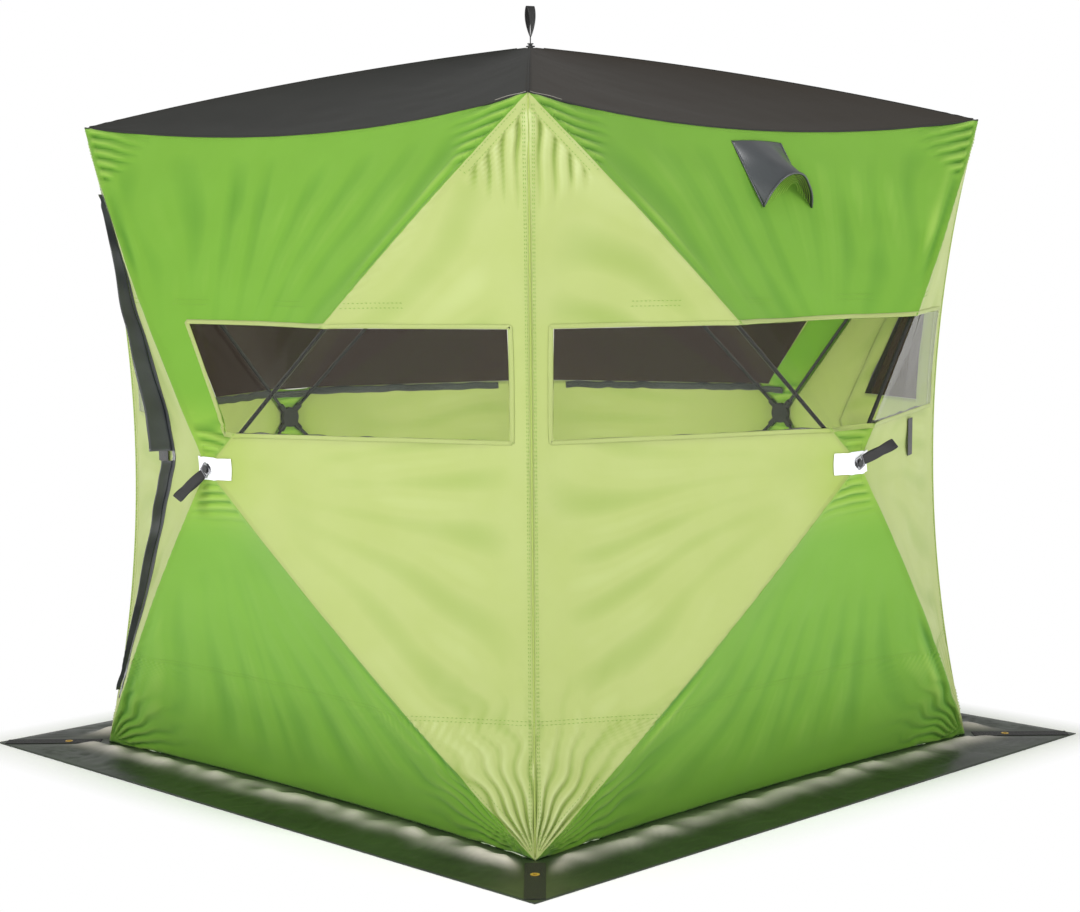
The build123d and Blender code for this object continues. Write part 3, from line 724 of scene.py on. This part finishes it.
def door_surround():
    """The cloth round the door: from the pole to the zip, over and under the door, and up its hinge side."""
    heights = heights_through(
        SKIRT_HEIGHT, (DOOR_BOTTOM, 0.009), (HUB_HEIGHT, 0.014), (DOOR_TOP, 0.014), (CORNER_HEIGHT, 0.010)
    )
    inner, outer = pole_line(heights), np.maximum(seam_line(heights), pole_line(heights))
    door_zip, inside = between_shares(heights, DOOR_BOTTOM, DOOR_TOP, inner, -zip_line(heights), outer)
    hinge, _ = between_shares(heights, DOOR_BOTTOM, DOOR_TOP, inner, outer - DOOR_JAMB, outer)
    return panel_grid(heights, [inner, door_zip, hinge, outer], [24, 28, 4], inside, [1], True)


def door_leaf():
    """The door from its zip to its hinge side, with its window left out."""
    foot, top = DOOR_BOTTOM + DOOR_GAP, DOOR_TOP - DOOR_GAP
    heights = heights_through(foot, (HUB_HEIGHT, 0.012), (SILL, 0.012), (HEAD, 0.020), (top, 0.012))
    inner, outer = DOOR_GAP - zip_line(heights), seam_line(heights) - DOOR_JAMB - DOOR_GAP
    near, inside = between_shares(heights, SILL, HEAD, inner, inner + DOOR_WINDOW_EDGE, outer)
    far, _ = between_shares(heights, SILL, HEAD, inner, outer - JAMB, outer)
    return panel_grid(heights, [inner, near, far, outer], [10, 26, 7], inside, [1], True)


for wall in WALLS:
    made = wall_cloth(f"{wall}_top_cloth", wall, top_panel(wall), GREEN)
    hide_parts(f"{wall}_top_panel")
    made = wall_cloth(f"{wall}_bottom_cloth", wall, bottom_panel(), GREEN)
    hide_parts(f"{wall}_bottom_panel")
    sides = [("right_cloth", "right_panel", side_panel(False))]
    if wall in DOOR_WALLS:
        sides.append(("surround_cloth", "door_surround", door_surround()))
    else:
        sides.append(("left_cloth", "left_panel", side_panel(True)))
    for cloth, panel, grid in sides:
        made = wall_cloth(f"{wall}_{cloth}", wall, grid, LIME)
        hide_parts(f"{wall}_{panel}")
    if wall in DOOR_WALLS:
        made = wall_cloth(f"{wall}_door_cloth", wall, door_leaf(), LIME, f"{wall}_door_leaf")
        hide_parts(f"{wall}_door")


# Tapes, stitches and piping
def directions(path):
    """Which way a path runs at each of its places."""
    run = np.gradient(path, axis=0)
    return run / np.linalg.norm(run, axis=1, keepdims=True)


def band(name, wall, path, width, lift, material, body="shell", thickness=0.001, steps=4):
    """A flat tape sewn along a path on the wall: path gives across and height at each station, and the tape
    runs half its width to each side, level with the cloth's creases."""
    run = directions(path)
    beside = np.stack([-run[:, 1], run[:, 0]], axis=1)
    offset = np.linspace(-0.5, 0.5, steps + 1) * width
    places = path[None] - beside[None] * offset[:, None, None]
    across, height = places[..., 0], places[..., 1]
    relief = creases(across, height, wall_seed(wall))[0] + lift
    points = turned(wall_point(across, height, relief), wall)
    flat = np.stack(np.broadcast_arrays(np.arange(len(path)) * 0.01, offset[:, None]), axis=-1)
    share = {"from_hub": hub_share(across, height)}
    made = piece(name, points[::-1], grid_faces(*across.shape), material, body, flat[::-1], share)
    return thicken(made, thickness)


def between(start, end, step=0.012):
    """Evenly spaced places on a straight line across a wall."""
    start, end = np.array(start, float), np.array(end, float)
    count = max(2, int(np.linalg.norm(end - start) / step) + 1)
    return start + (end - start) * np.linspace(0, 1, count)[:, None]


def outline(corners):
    """Straight runs from each corner to the next, and back to the first."""
    return np.concatenate([between(a, b) for a, b in zip(corners, corners[1:] + corners[:1])])


def aside(path, distance):
    """A path moved sideways, to its right as it is followed."""
    run = directions(path)
    return path + np.stack([run[:, 1], -run[:, 0]], axis=1) * distance


def stitches(name, wall, paths, body="shell"):
    """Rows of stitches along paths on a wall. Each is a long bead of eight faces, about twice as long as a
    real stitch so that it shows."""
    ends = []
    for path in paths:
        steps = np.concatenate([[0], np.cumsum(np.linalg.norm(np.diff(path, axis=0), axis=1))])
        marks = np.arange(0, max(steps[-1] - STITCH, 0.001), STITCH_PITCH)
        places = [np.interp([marks, marks + STITCH], steps, path[:, axis]) for axis in (0, 1)]
        ends.append(np.stack(places, axis=-1))
    across, height = np.moveaxis(np.concatenate(ends, axis=1), -1, 0)
    relief = creases(across, height, wall_seed(wall))[0] + STITCH_LIFT
    first, last = wall_point(across, height, relief)
    along = (last - first) / np.linalg.norm(last - first, axis=1, keepdims=True)
    out = wall_normal(across[0], height[0])
    side = np.cross(along, out)
    ring = [(first + last) / 2 + way * STITCH_RADIUS for way in (side, out, -side, -out)]
    points = np.stack([first, *ring, last], axis=1)
    bead = [face for a, b in ((1, 2), (2, 3), (3, 4), (4, 1)) for face in ((0, b, a), (5, a, b))]
    faces = (np.arange(len(first))[:, None, None] * 6 + np.array(bead)).reshape(-1, 3).tolist()
    return piece(name, turned(points, wall), faces, GREEN_THREAD, body)


def tubes(name, paths, radius, material, sides=6):
    """One piece of round tubes along several paths: rings square to each path, joined side to side, and
    closed at both ends."""
    angle = np.linspace(0, 2 * math.pi, sides, endpoint=False)[:, None]
    column = np.arange(sides)
    points, faces, start = [], [], 0
    for path in paths:
        run = directions(path)
        side = np.cross(run, [0.31, 0.17, 0.94])
        side /= np.linalg.norm(side, axis=1, keepdims=True)
        other = np.cross(run, side)
        rings = path[:, None] + radius * (side[:, None] * np.cos(angle) + other[:, None] * np.sin(angle))
        points.append(rings.reshape(-1, 3))
        row = start + np.arange(len(path) - 1)[:, None] * sides
        here, beside = row + column, row + (column + 1) % sides
        faces += np.stack([here, here + sides, beside + sides, beside], axis=-1).reshape(-1, 4).tolist()
        faces.append(list(range(start, start + sides)))
        start += len(path) * sides
        faces.append(list(range(start - 1, start - sides - 1, -1)))
    return piece(name, np.concatenate(points), faces, material)


def window_path(wall, grow):
    """The window's outline on a wall, grown by a hem, as straight runs from its lower right corner."""
    low, high = SILL - grow, HEAD + grow
    right = [(seam_line(low) - JAMB + grow, low), (seam_line(high) - JAMB + grow, high)]
    if wall in DOOR_WALLS:
        left = [(SLANT_GAP - grow - pole_line(HEAD), high), (SLANT_GAP - grow - pole_line(SILL), low)]
    else:
        left = [(JAMB - grow - seam_line(high), high), (JAMB - grow - seam_line(low), low)]
    return outline(right + left)


def door_window_path(grow):
    """The door window's outline, grown by a hem."""
    low, high = SILL - grow, HEAD + grow
    outer = [(DOOR_JAMB + JAMB - grow - seam_line(z), z) for z in (low, high)]
    inner = [(zip_line(z) - DOOR_WINDOW_EDGE + grow, z) for z in (high, low)]
    return outline(outer + inner)


def pole_path(side, top, first, last):
    """A path along a pole line, from a distance to a distance from its corner."""
    corner = np.array([side * (EAVE_HALF if top else BASE_HALF), CORNER_HEIGHT if top else SKIRT_HEIGHT])
    inward = np.array([0, HUB_HEIGHT]) - corner
    inward /= np.linalg.norm(inward)
    return between(corner + inward * first, corner + inward * last)


def corner_path(side, inset):
    """A path up a corner seam, inside it by an inset."""
    heights = np.linspace(SKIRT_HEIGHT + 0.02, CORNER_HEIGHT - 0.02, 150)
    return np.stack([side * (seam_line(heights) - inset), heights], axis=1)


def eave_path(drop):
    """A path under the eave seam."""
    across = np.linspace(-EAVE_HALF + 0.03, EAVE_HALF - 0.03, 140)
    return np.stack([across, eave_line(across) - drop], axis=1)


def zip_path(shift):
    """A path along the door's zip side."""
    lower, upper = np.linspace(DOOR_BOTTOM, HUB_HEIGHT, 70), np.linspace(HUB_HEIGHT, DOOR_TOP, 70)
    heights = np.concatenate([lower, upper[1:]])
    return np.stack([zip_line(heights) + shift, heights], axis=1)


def storm_flap(name, wall, start, end, widths):
    """A soft strip sewn along a line on the door, standing out from it, wavy along its free edge."""
    seed = wall_seed(wall)
    share = np.linspace(0, 1, 90)
    path = np.array(start) + (np.array(end) - np.array(start)) * share[:, None]
    seam_points = wall_point(path[:, 0], path[:, 1], creases(path[:, 0], path[:, 1], seed)[0] + 0.001)
    width = np.interp(share, [0, 0.5, 1], [widths[0], sum(widths) / 2 + 0.002, widths[1]])[:, None]
    lean = math.radians(FLAP_LEAN)
    outward = np.array([-math.cos(lean), -math.sin(lean), 0])
    beside = np.array([math.sin(lean), -math.cos(lean), 0])
    reach = np.linspace(0, 1, 9)
    curl = 0.0035 * waves(share[:, None] * 1.2, 0.22, seed + 31)[:, None] * reach + 0.10 * width * reach**2
    points = seam_points[:, None] + (width * reach)[..., None] * outward + curl[..., None] * beside
    faces = grid_faces(*points.shape[:2])
    made = piece(name, turned(points, wall), faces, COATED, f"{wall}_door_leaf")
    return thicken(made, 0.0012)


def hood(wall):
    """A vent hood: a coated cloth tunnel, low at the top and arched at its mouth, with a piped edge."""
    place = [np.array([VENT_ACROSS]), np.array([VENT_MIDDLE])]
    origin, out = wall_point(*place, 0.001)[0], wall_normal(*place)[0]
    sideways = np.array([1.0, 0, 0])
    sideways -= out * (sideways @ out)
    sideways /= np.linalg.norm(sideways)
    up_slope = np.cross(out, sideways)
    around = np.linspace(0, 1, 37)
    crown = np.sin(math.pi * around)
    rows = []
    for row in np.linspace(0, 1, 40):
        share = row * (1 - VENT_CUT_BACK * crown)
        rise = VENT_TOP_DEPTH + (VENT_DEPTH - VENT_TOP_DEPTH) * row
        round_points = arc((-VENT_WIDTH / 2, 0), (0, rise), (VENT_WIDTH / 2, 0), around)
        sag = 0.0042 * waves(np.stack([around * 0.25, share * 0.18], axis=1), 0.10, 77) * row
        shift = (VENT_SKEW * (share - 0.5))[:, None]
        along = (VENT_HEIGHT * (0.5 - share))[:, None]
        rows.append(
            origin
            + up_slope * along
            + sideways * (round_points[:, :1] + shift)
            + out * (round_points[:, 1:] + (sag * crown)[:, None])
        )
    points = np.array(rows)[::-1]
    faces = grid_faces(*points.shape[:2])
    made = piece(f"{wall}_hood", turned(points, wall), faces, COATED)
    thicken(made, 0.0014)
    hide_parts(f"{wall}_vent_hood")
    tubes(f"{wall}_hood_piping", [turned(points[0], wall)], 0.003, COATED, sides=8)
    feet = [turned(points[:, column], wall) for column in (0, -1)]
    tubes(f"{wall}_hood_seams", feet, 0.002, COATED)
    middle = points[0].mean(axis=0)
    mouth = np.linspace(0, 1, 9)[2:8, None, None] * (points[0] - middle) * 0.97 + middle
    tubes(f"{wall}_hood_mesh", [turned(row, wall) for row in mouth], 0.0006, GREEN, sides=4)


def sewn_rows(wall):
    """Every row of stitches on a wall's own cloth."""
    door = wall in DOOR_WALLS
    rows = []
    for side, top in ((-1, True), (-1, False), (1, True), (1, False)):
        if door and side < 0 and not top:
            continue
        for beside in (-SLEEVE_HALF, -0.004, 0.004, SLEEVE_HALF):
            rows.append(aside(pole_path(side, top, 0.045, SLEEVE_LENGTH), beside))
        end, inward = pole_path(side, top, SLEEVE_LENGTH, SLEEVE_LENGTH + 0.03)[[0, -1]]
        square = (inward - end)[::-1] * np.array([1, -1]) / np.linalg.norm(inward - end) * SLEEVE_HALF
        rows.append(between(end - square, end + square))
    rows += [window_path(wall, grow) for grow in (0.003, HEM - 0.003)]
    rows += [corner_path(side, inset) for side in (-1, 1) for inset in (0.007, 0.011)]
    rows += [eave_path(0.008)]
    rows += [between((a, HEAD + lift), (b, HEAD + lift)) for a, b in POCKET_MARKS for lift in (0.050, 0.062)]
    for sign in (-1, 1):
        near = HUB_HEIGHT + sign * (PATCH_HEIGHT / 2 + 0.004)
        away = HUB_HEIGHT + sign * (PATCH_HEIGHT / 2 + 0.027)
        corners = [(-0.024, near), (-0.036, away), (0.036, away), (0.024, near)]
        rows += [between(a, b) for a, b in zip(corners, corners[1:])]
    first = -0.60 if door else -0.86
    rows += [between((first, LEVEL_SEAM + lift), (0.86, LEVEL_SEAM + lift)) for lift in (0.0, ROW_GAP)]
    return rows


def door_trim(wall):
    """The door's zip tapes, window hem, stitches and storm flaps."""
    leaf = f"{wall}_door_leaf"
    for name, shift, body in (("fixed", 0.0075, "shell"), ("moving", -0.0095, leaf)):
        name = f"{wall}_zip_tape_{name}"
        band(name, wall, zip_path(shift), ZIP_TAPE_WIDTH, 0.0018, COATED, body)
    path = door_window_path(HEM / 2)
    band(f"{wall}_door_window_hem", wall, path, HEM, HEM_LIFT, LIME, leaf, steps=3)
    rows = [door_window_path(grow) for grow in (0.003, HEM - 0.003)] + [zip_path(-0.018)]
    stitches(f"{wall}_door_stitching", wall, rows, leaf)
    tip = -FLAP_INSET - FLAP_START - DOOR_REACH
    above, below = [zip_line(z) - FLAP_INSET - FLAP_END_INSET for z in (DOOR_TOP, DOOR_BOTTOM)]
    upper = storm_flap(
        f"{wall}_flap_upper", wall, (above, DOOR_TOP - FLAP_END), (tip, HUB_HEIGHT + FLAP_START),
        (FLAP_TIP_WIDTH, UPPER_FLAP_WIDTH),
    )
    lower = storm_flap(
        f"{wall}_flap_lower", wall, (tip, HUB_HEIGHT - FLAP_START), (below, DOOR_BOTTOM + FLAP_END),
        (LOWER_FLAP_WIDTH, FLAP_TIP_WIDTH),
    )
    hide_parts(f"{wall}_storm_flap")


for wall in WALLS:
    path = window_path(wall, HEM / 2)
    sewn = [band(f"{wall}_window_hem", wall, path, HEM, HEM_LIFT, LIME, steps=3)]
    sewn.append(stitches(f"{wall}_stitching", wall, sewn_rows(wall)))
    path = between((-PATCH_WIDTH / 2, HUB_HEIGHT), (PATCH_WIDTH / 2, HUB_HEIGHT), 0.005)
    patch = band(
        f"{wall}_patch", wall, path, PATCH_HEIGHT, 0.0034, TAPE, thickness=0.0016, steps=14
    )
    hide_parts(f"{wall}_reflector")
    first = -0.02 if wall in DOOR_WALLS else -0.70
    path = between((first, SILL - COVER_DROP), (0.72, SILL - COVER_DROP), 0.006)
    path[:, 1] += 0.003 * waves(path, 0.07, wall_seed(wall) + 50)
    sewn.append(
        band(
            f"{wall}_window_cover", wall, path, COVER_WIDTH, -COVER_DEPTH, COATED,
            thickness=0.003,
        )
    )
    if wall in DOOR_WALLS:
        door_trim(wall)
    else:
        hood(wall)

# Welts cover the corner seams, and a binding holds the roof to the walls
welts = [turned(seam("right", np.linspace(0.004, 0.996, 120)), wall) for wall in WALLS]
tubes("corner_welts", welts, 0.0024, LIME)
eaves = [turned(seam("top", np.linspace(0.0, 1.0, 120)), wall) for wall in WALLS]
tubes("eave_binding", eaves, 0.0026, ROOF)


def roof_point(along, share, seed=5):
    """Points of the roof's gore over the front wall: along the eave from 0 to 1, and from hub to eave."""
    along, share = np.broadcast_arrays(along, share)
    edge = seam("top", along)
    hub = np.array([0, 0, ROOF_HUB_HEIGHT])
    flex = 1 - (1 - MIDDLE_FLEX) * 4 * along * (1 - along)
    points = hub + share[..., None] * (edge - hub)
    points[..., 2] += 4 * share * (1 - share) * ROOF_POLE_BOW * flex
    inside = smooth(1 - share, 0.0, 0.12) * smooth(share, 0.02, 0.10) * smooth(along * (1 - along), 0.0, 0.06)
    place = points[..., :2]
    slow, quick = waves(place, 0.45, seed), waves(place, 0.13, seed + 1)
    points[..., 2] += inside * (0.004 * slow + 0.0012 * quick - 0.003)
    gather = bell(1 - share, 0, 0.07) * bell(0.5 - np.abs(along - 0.5), 0, 0.09)
    gather = gather * smooth(1 - share, 0.0, 0.015)
    points[..., 2] += 0.0014 * gather * folds(share * 1.3 + 0.4 * np.abs(along - 0.5), 0.026)
    return points


gores, gore_faces, painted_gore_light = [], [], []
share, along = np.linspace(1, 0.012, 64)[:, None], np.linspace(0, 1, 97)[None, :]
for number, wall in enumerate(WALLS):
    points = turned(roof_point(along, share, 5 + 3 * number), wall)
    rows, columns = points.shape[:2]
    gores.append(points)
    gore_faces += grid_faces(rows, columns, start=number * rows * columns)
    # Right and left gores get tone 1, the roof's lighter, browner second colour: painted light, those sides
    # drawn as lit differently from the front and back.
    painted_gore_light.append(np.full((rows, columns), number % 2))
values = {"tone": np.array(painted_gore_light)}
roof = piece("roof_cloth", np.array(gores), gore_faces, ROOF, values=values)
thicken(weld(roof), CLOTH)
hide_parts("roof")
hips = [turned(roof_point(1.0, np.linspace(0.03, 0.99, 80)), wall) for wall in WALLS]
tubes("roof_seams", hips, 0.0018, ROOF)
pale_lines = [
    turned(roof_point(np.linspace(low, high, 14), 0.985) + [0, 0, 0.0015], wall)
    for wall, low, high in (("front", 0.93, 0.995), ("right", 0.005, 0.07))
]
tubes("roof_stitching", pale_lines, 0.0009, PALE_THREAD)


def webbing_loop(root, direction, side, length, gap, twist):
    """A loop of webbing from a ring's bar: it runs out along direction and back, and turns as it goes."""
    turn = np.linspace(0, 2 * math.pi, 65)
    reach = (1 - np.cos(turn)) / 2
    spread = gap * np.sin(turn) * (0.45 + 0.75 * reach)
    facing = np.cross(side, direction)
    angle = twist * reach
    width_way = side * np.cos(angle)[:, None] + facing * np.sin(angle)[:, None]
    gap_way = facing * np.cos(angle)[:, None] - side * np.sin(angle)[:, None]
    centre = root + direction * (reach * length)[:, None] + gap_way * spread[:, None]
    across = np.linspace(-0.5, 0.5, 7) * STRAP_WIDTH
    return centre[:, None] + width_way[:, None] * across[None, :, None]


# A strap hangs from each wall's ring, leaning out from the wall, and one stands on the roof's
RING_OUT = 0.0051  # from the hub's face to the ring's bar
RING_BAR = 0.0165  # from the hub's axis to the ring's bar, along the strap
outward, lean = np.array([0, -1.0, 0]), math.radians(STRAP_LEAN)
loops = []
for wall in WALLS:
    angle = math.radians(DOOR_STRAP_TURN if wall in DOOR_WALLS else PLAIN_STRAP_TURN)
    along = np.array([math.cos(angle), 0, math.sin(angle)])
    bar = np.array([0, HUB_DEPTH, HUB_HEIGHT]) + outward * RING_OUT + along * RING_BAR
    direction = along * math.cos(lean) + outward * math.sin(lean)
    loops.append(turned(webbing_loop(bar, direction, np.cross(along, outward), 0.100, 0.0120, 0.90), wall))
near_corner = np.array([1, -1, 0]) / math.sqrt(2)
roof_ring = np.array([0, 0, ROOF_HUB_HEIGHT + 0.027])
loops.append(webbing_loop(roof_ring, np.array([0, 0, 1.0]), near_corner, 0.090, 0.0110, 1.15))
rows, columns = loops[0].shape[:2]
loop_faces = []
for number in range(len(loops)):
    loop_faces += grid_faces(rows, columns, start=number * rows * columns)
straps = piece("webbing_loops", np.array(loops), loop_faces, WEBBING)
thicken(weld(straps), WEBBING_THICKNESS)
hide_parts("pull_straps")

# Snow skirt: four flaps of tarpaulin from the walls' feet, mitred at the corners, lying on the ground
SKIRT_HALF = BASE_HALF + SKIRT_WIDTH
out, along = np.linspace(1, 0, 28)[:, None], np.linspace(0, 1, 185)[None, :]
skirts, skirt_faces, painted_sheen = [], [], []
for number, wall in enumerate(WALLS):
    inner = seam("bottom", along)
    level = np.full_like(along, SKIRT_HEIGHT)
    outer = np.stack([(2 * along - 1) * SKIRT_HALF, np.full_like(along, -SKIRT_HALF), level], axis=-1)
    points = inner + (outer - inner) * out[..., None]
    place = points[..., :2]
    distance = out * SKIRT_WIDTH
    off_corner = smooth(np.abs(np.abs(points[..., 0]) + points[..., 1]), 0.035, 0.11)
    rough = waves(place, 0.13, 61 + number)
    crest = bell(distance, 0.075, 0.034) * np.clip(0.80 + 0.55 * rough, 0, 1.2)
    buckle = np.abs(waves(place, 0.34, 71 + number)) * smooth(distance, 0.02, 0.08)
    buckle = buckle * smooth(1 - out, 0.0, 0.25)
    crumple = np.abs(np.sin(2.6 * rough + 40 * place[..., 0] * waves(place, 0.5, 81 + number)))
    crumple = crumple * smooth(1 - out, 0.0, 0.15)
    points[..., 2] += off_corner * (0.016 * crest + 0.006 * buckle + 0.0022 * crumple)
    rows, columns = points.shape[:2]
    skirts.append(turned(points, wall))
    skirt_faces += grid_faces(rows, columns, start=number * rows * columns)
    # The crest, less at the corners, also paints the skirt's pale grey sheen.
    painted_sheen.append(crest * off_corner)
values = {"crest": np.array(painted_sheen)}
skirt = piece("skirt_cloth", np.array(skirts), skirt_faces, SKIRT, values=values)
thicken(weld(skirt), SKIRT_THICKNESS)
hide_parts("snow_skirt")

# Carried-over CAD pieces get their finishes
FINISHES = {
    "poles": RODS,
    "hub": HUB,
    "window": FILM,
    "tab": WEBBING,
    "straps": WEBBING,
    "bands": WEBBING,
    "rings": STEEL,
    "eyelets": BRASS,
}
for name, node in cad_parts.items():
    for ending, material in FINISHES.items():
        if name.endswith(ending):
            for material_slot in node.material_slots:
                material_slot.material = material


# Stage, camera and light
FADE_START = 1.13  # the floor takes shadow up to here, and is the plain backdrop from where the fade ends
FADE_END = 1.28


def backdrop(tree, path):
    """Plain white, but dim where it is seen through both sides of the hut, as in the photograph."""
    depth = path.outputs["Transparent Depth"]
    through = add_node(tree, "ShaderNodeMath", {0: depth, 1: 2.5}, operation="GREATER_THAN").outputs[0]
    colours = {0: through, 6: [1, 1, 1, 1], 7: linear("#33271F")}
    return add_node(tree, "ShaderNodeMix", colours, data_type="RGBA").outputs[2]


def floor_material():
    """Studio floor: it takes the hut's shadow near the hut, and glows as the plain backdrop away from it."""
    made, tree = new_material("white studio floor")
    place = add_node(tree, "ShaderNodeTexCoord").outputs["Object"]
    distances = add_node(tree, "ShaderNodeVectorMath", {0: place}, operation="ABSOLUTE")
    sides = add_node(tree, "ShaderNodeSeparateXYZ", {"Vector": distances.outputs["Vector"]}).outputs
    away = add_node(tree, "ShaderNodeMath", {0: sides["X"], 1: sides["Y"]}, operation="MAXIMUM").outputs[0]
    fade = add_node(
        tree, "ShaderNodeMapRange", {"Value": away, "From Min": FADE_START, "From Max": FADE_END}
    ).outputs["Result"]
    path = add_node(tree, "ShaderNodeLightPath")
    matt = add_node(tree, "ShaderNodeBsdfDiffuse", {"Color": [0.93, 0.93, 0.93, 1]}).outputs[0]
    camera_ray = path.outputs["Is Camera Ray"]
    seen = add_node(tree, "ShaderNodeMapRange", {"Value": camera_ray, "To Min": 1.8, "To Max": 1.0})
    sockets = {"Color": backdrop(tree, path), "Strength": seen.outputs["Result"]}
    bright = add_node(tree, "ShaderNodeEmission", sockets).outputs[0]
    shown = add_node(tree, "ShaderNodeMixShader", {0: fade, 1: matt, 2: bright}).outputs[0]
    add_node(tree, "ShaderNodeOutputMaterial", {"Surface": shown})
    return made


def world_light(strength):
    """Even studio light, and the plain backdrop where the camera or light through a surface meets it."""
    world = bpy.data.worlds.new("studio")
    bpy.context.scene.world = world
    world.use_nodes = True
    tree = world.node_tree
    tree.nodes.clear()
    path = add_node(tree, "ShaderNodeLightPath")
    rays = {0: path.outputs["Is Camera Ray"], 1: path.outputs["Is Transmission Ray"]}
    seen = add_node(tree, "ShaderNodeMath", rays, operation="MAXIMUM").outputs[0]
    soft = add_node(tree, "ShaderNodeBackground", {"Color": [1, 1, 1, 1], "Strength": strength}).outputs[0]
    plain = {"Color": backdrop(tree, path), "Strength": 1.0}
    plain = add_node(tree, "ShaderNodeBackground", plain).outputs[0]
    shown = add_node(tree, "ShaderNodeMixShader", {0: seen, 1: soft, 2: plain}).outputs[0]
    add_node(tree, "ShaderNodeOutputWorld", {"Surface": shown})


def lamp(name, kind, place, power):
    """A lamp of a kind at a place."""
    light = bpy.data.lights.new(name, kind)
    light.energy = power
    made = bpy.data.objects.new(name, light)
    bpy.context.scene.collection.objects.link(made)
    made.location = place
    return made


def soft_box(name, place, aim, size, power):
    """A square soft box that faces a point."""
    made = lamp(name, "AREA", place, power)
    made.data.size = size
    facing = mathutils.Vector(aim) - mathutils.Vector(place)
    made.rotation_euler = facing.to_track_quat("-Z", "Y").to_euler()


FLOOR_HALF = 60.0
floor_points = np.array([[-1, -1, 0], [1, -1, 0], [1, 1, 0], [-1, 1, 0]]) * FLOOR_HALF
floor = bpy.data.meshes.new("floor")
floor.from_pydata(floor_points.tolist(), [], [[0, 1, 2, 3]])
floor.materials.append(floor_material())
floor_object = bpy.data.objects.new("floor", floor)
bpy.context.scene.collection.objects.link(floor_object)
world_light(0.55)
soft_box("key", (0.5, -6.0, 4.0), (0, 0, 1), 1.6, 250)
soft_box("fill", (6.5, 1.0, 4.0), (0, 0, 1), 1.6, 200)
soft_box("low fill", (4.2, -4.2, 0.7), (0, 0, 0.5), 2.0, 45)
inside_lamp = lamp("inside", "POINT", (-0.1, 0.1, 0.9), 46)
inside_lamp.data.shadow_soft_size = 0.3
inside_lamp.visible_camera = False
inside_lamp.visible_glossy = False

CAMERA_PLACE = (4.43116, -4.38699, 1.46300)
CAMERA_TURN = 45.13  # degrees from the view straight at the front wall, towards the right wall
CAMERA_PITCH = -5.65
CAMERA_ROLL = -0.51
LENS = 71.04
turn, pitch, roll = (math.radians(angle) for angle in (CAMERA_TURN, CAMERA_PITCH, CAMERA_ROLL))
ahead = math.cos(pitch)
look = mathutils.Vector((-math.sin(turn) * ahead, math.cos(turn) * ahead, math.sin(pitch)))
level = look.cross(mathutils.Vector((0, 0, 1))).normalized()
upright = level.cross(look)
right = level * math.cos(roll) + upright * math.sin(roll)
up = upright * math.cos(roll) - level * math.sin(roll)
camera = bpy.data.objects.new("camera", bpy.data.cameras.new("camera"))
camera.data.sensor_width = 36.0
camera.data.lens = LENS
bpy.context.scene.collection.objects.link(camera)
camera.matrix_world = mathutils.Matrix(
    [[right[i], up[i], -look[i], CAMERA_PLACE[i]] for i in range(3)] + [[0, 0, 0, 1]]
)
bpy.context.scene.camera = camera
bpy.context.scene.view_settings.view_transform = "Standard"
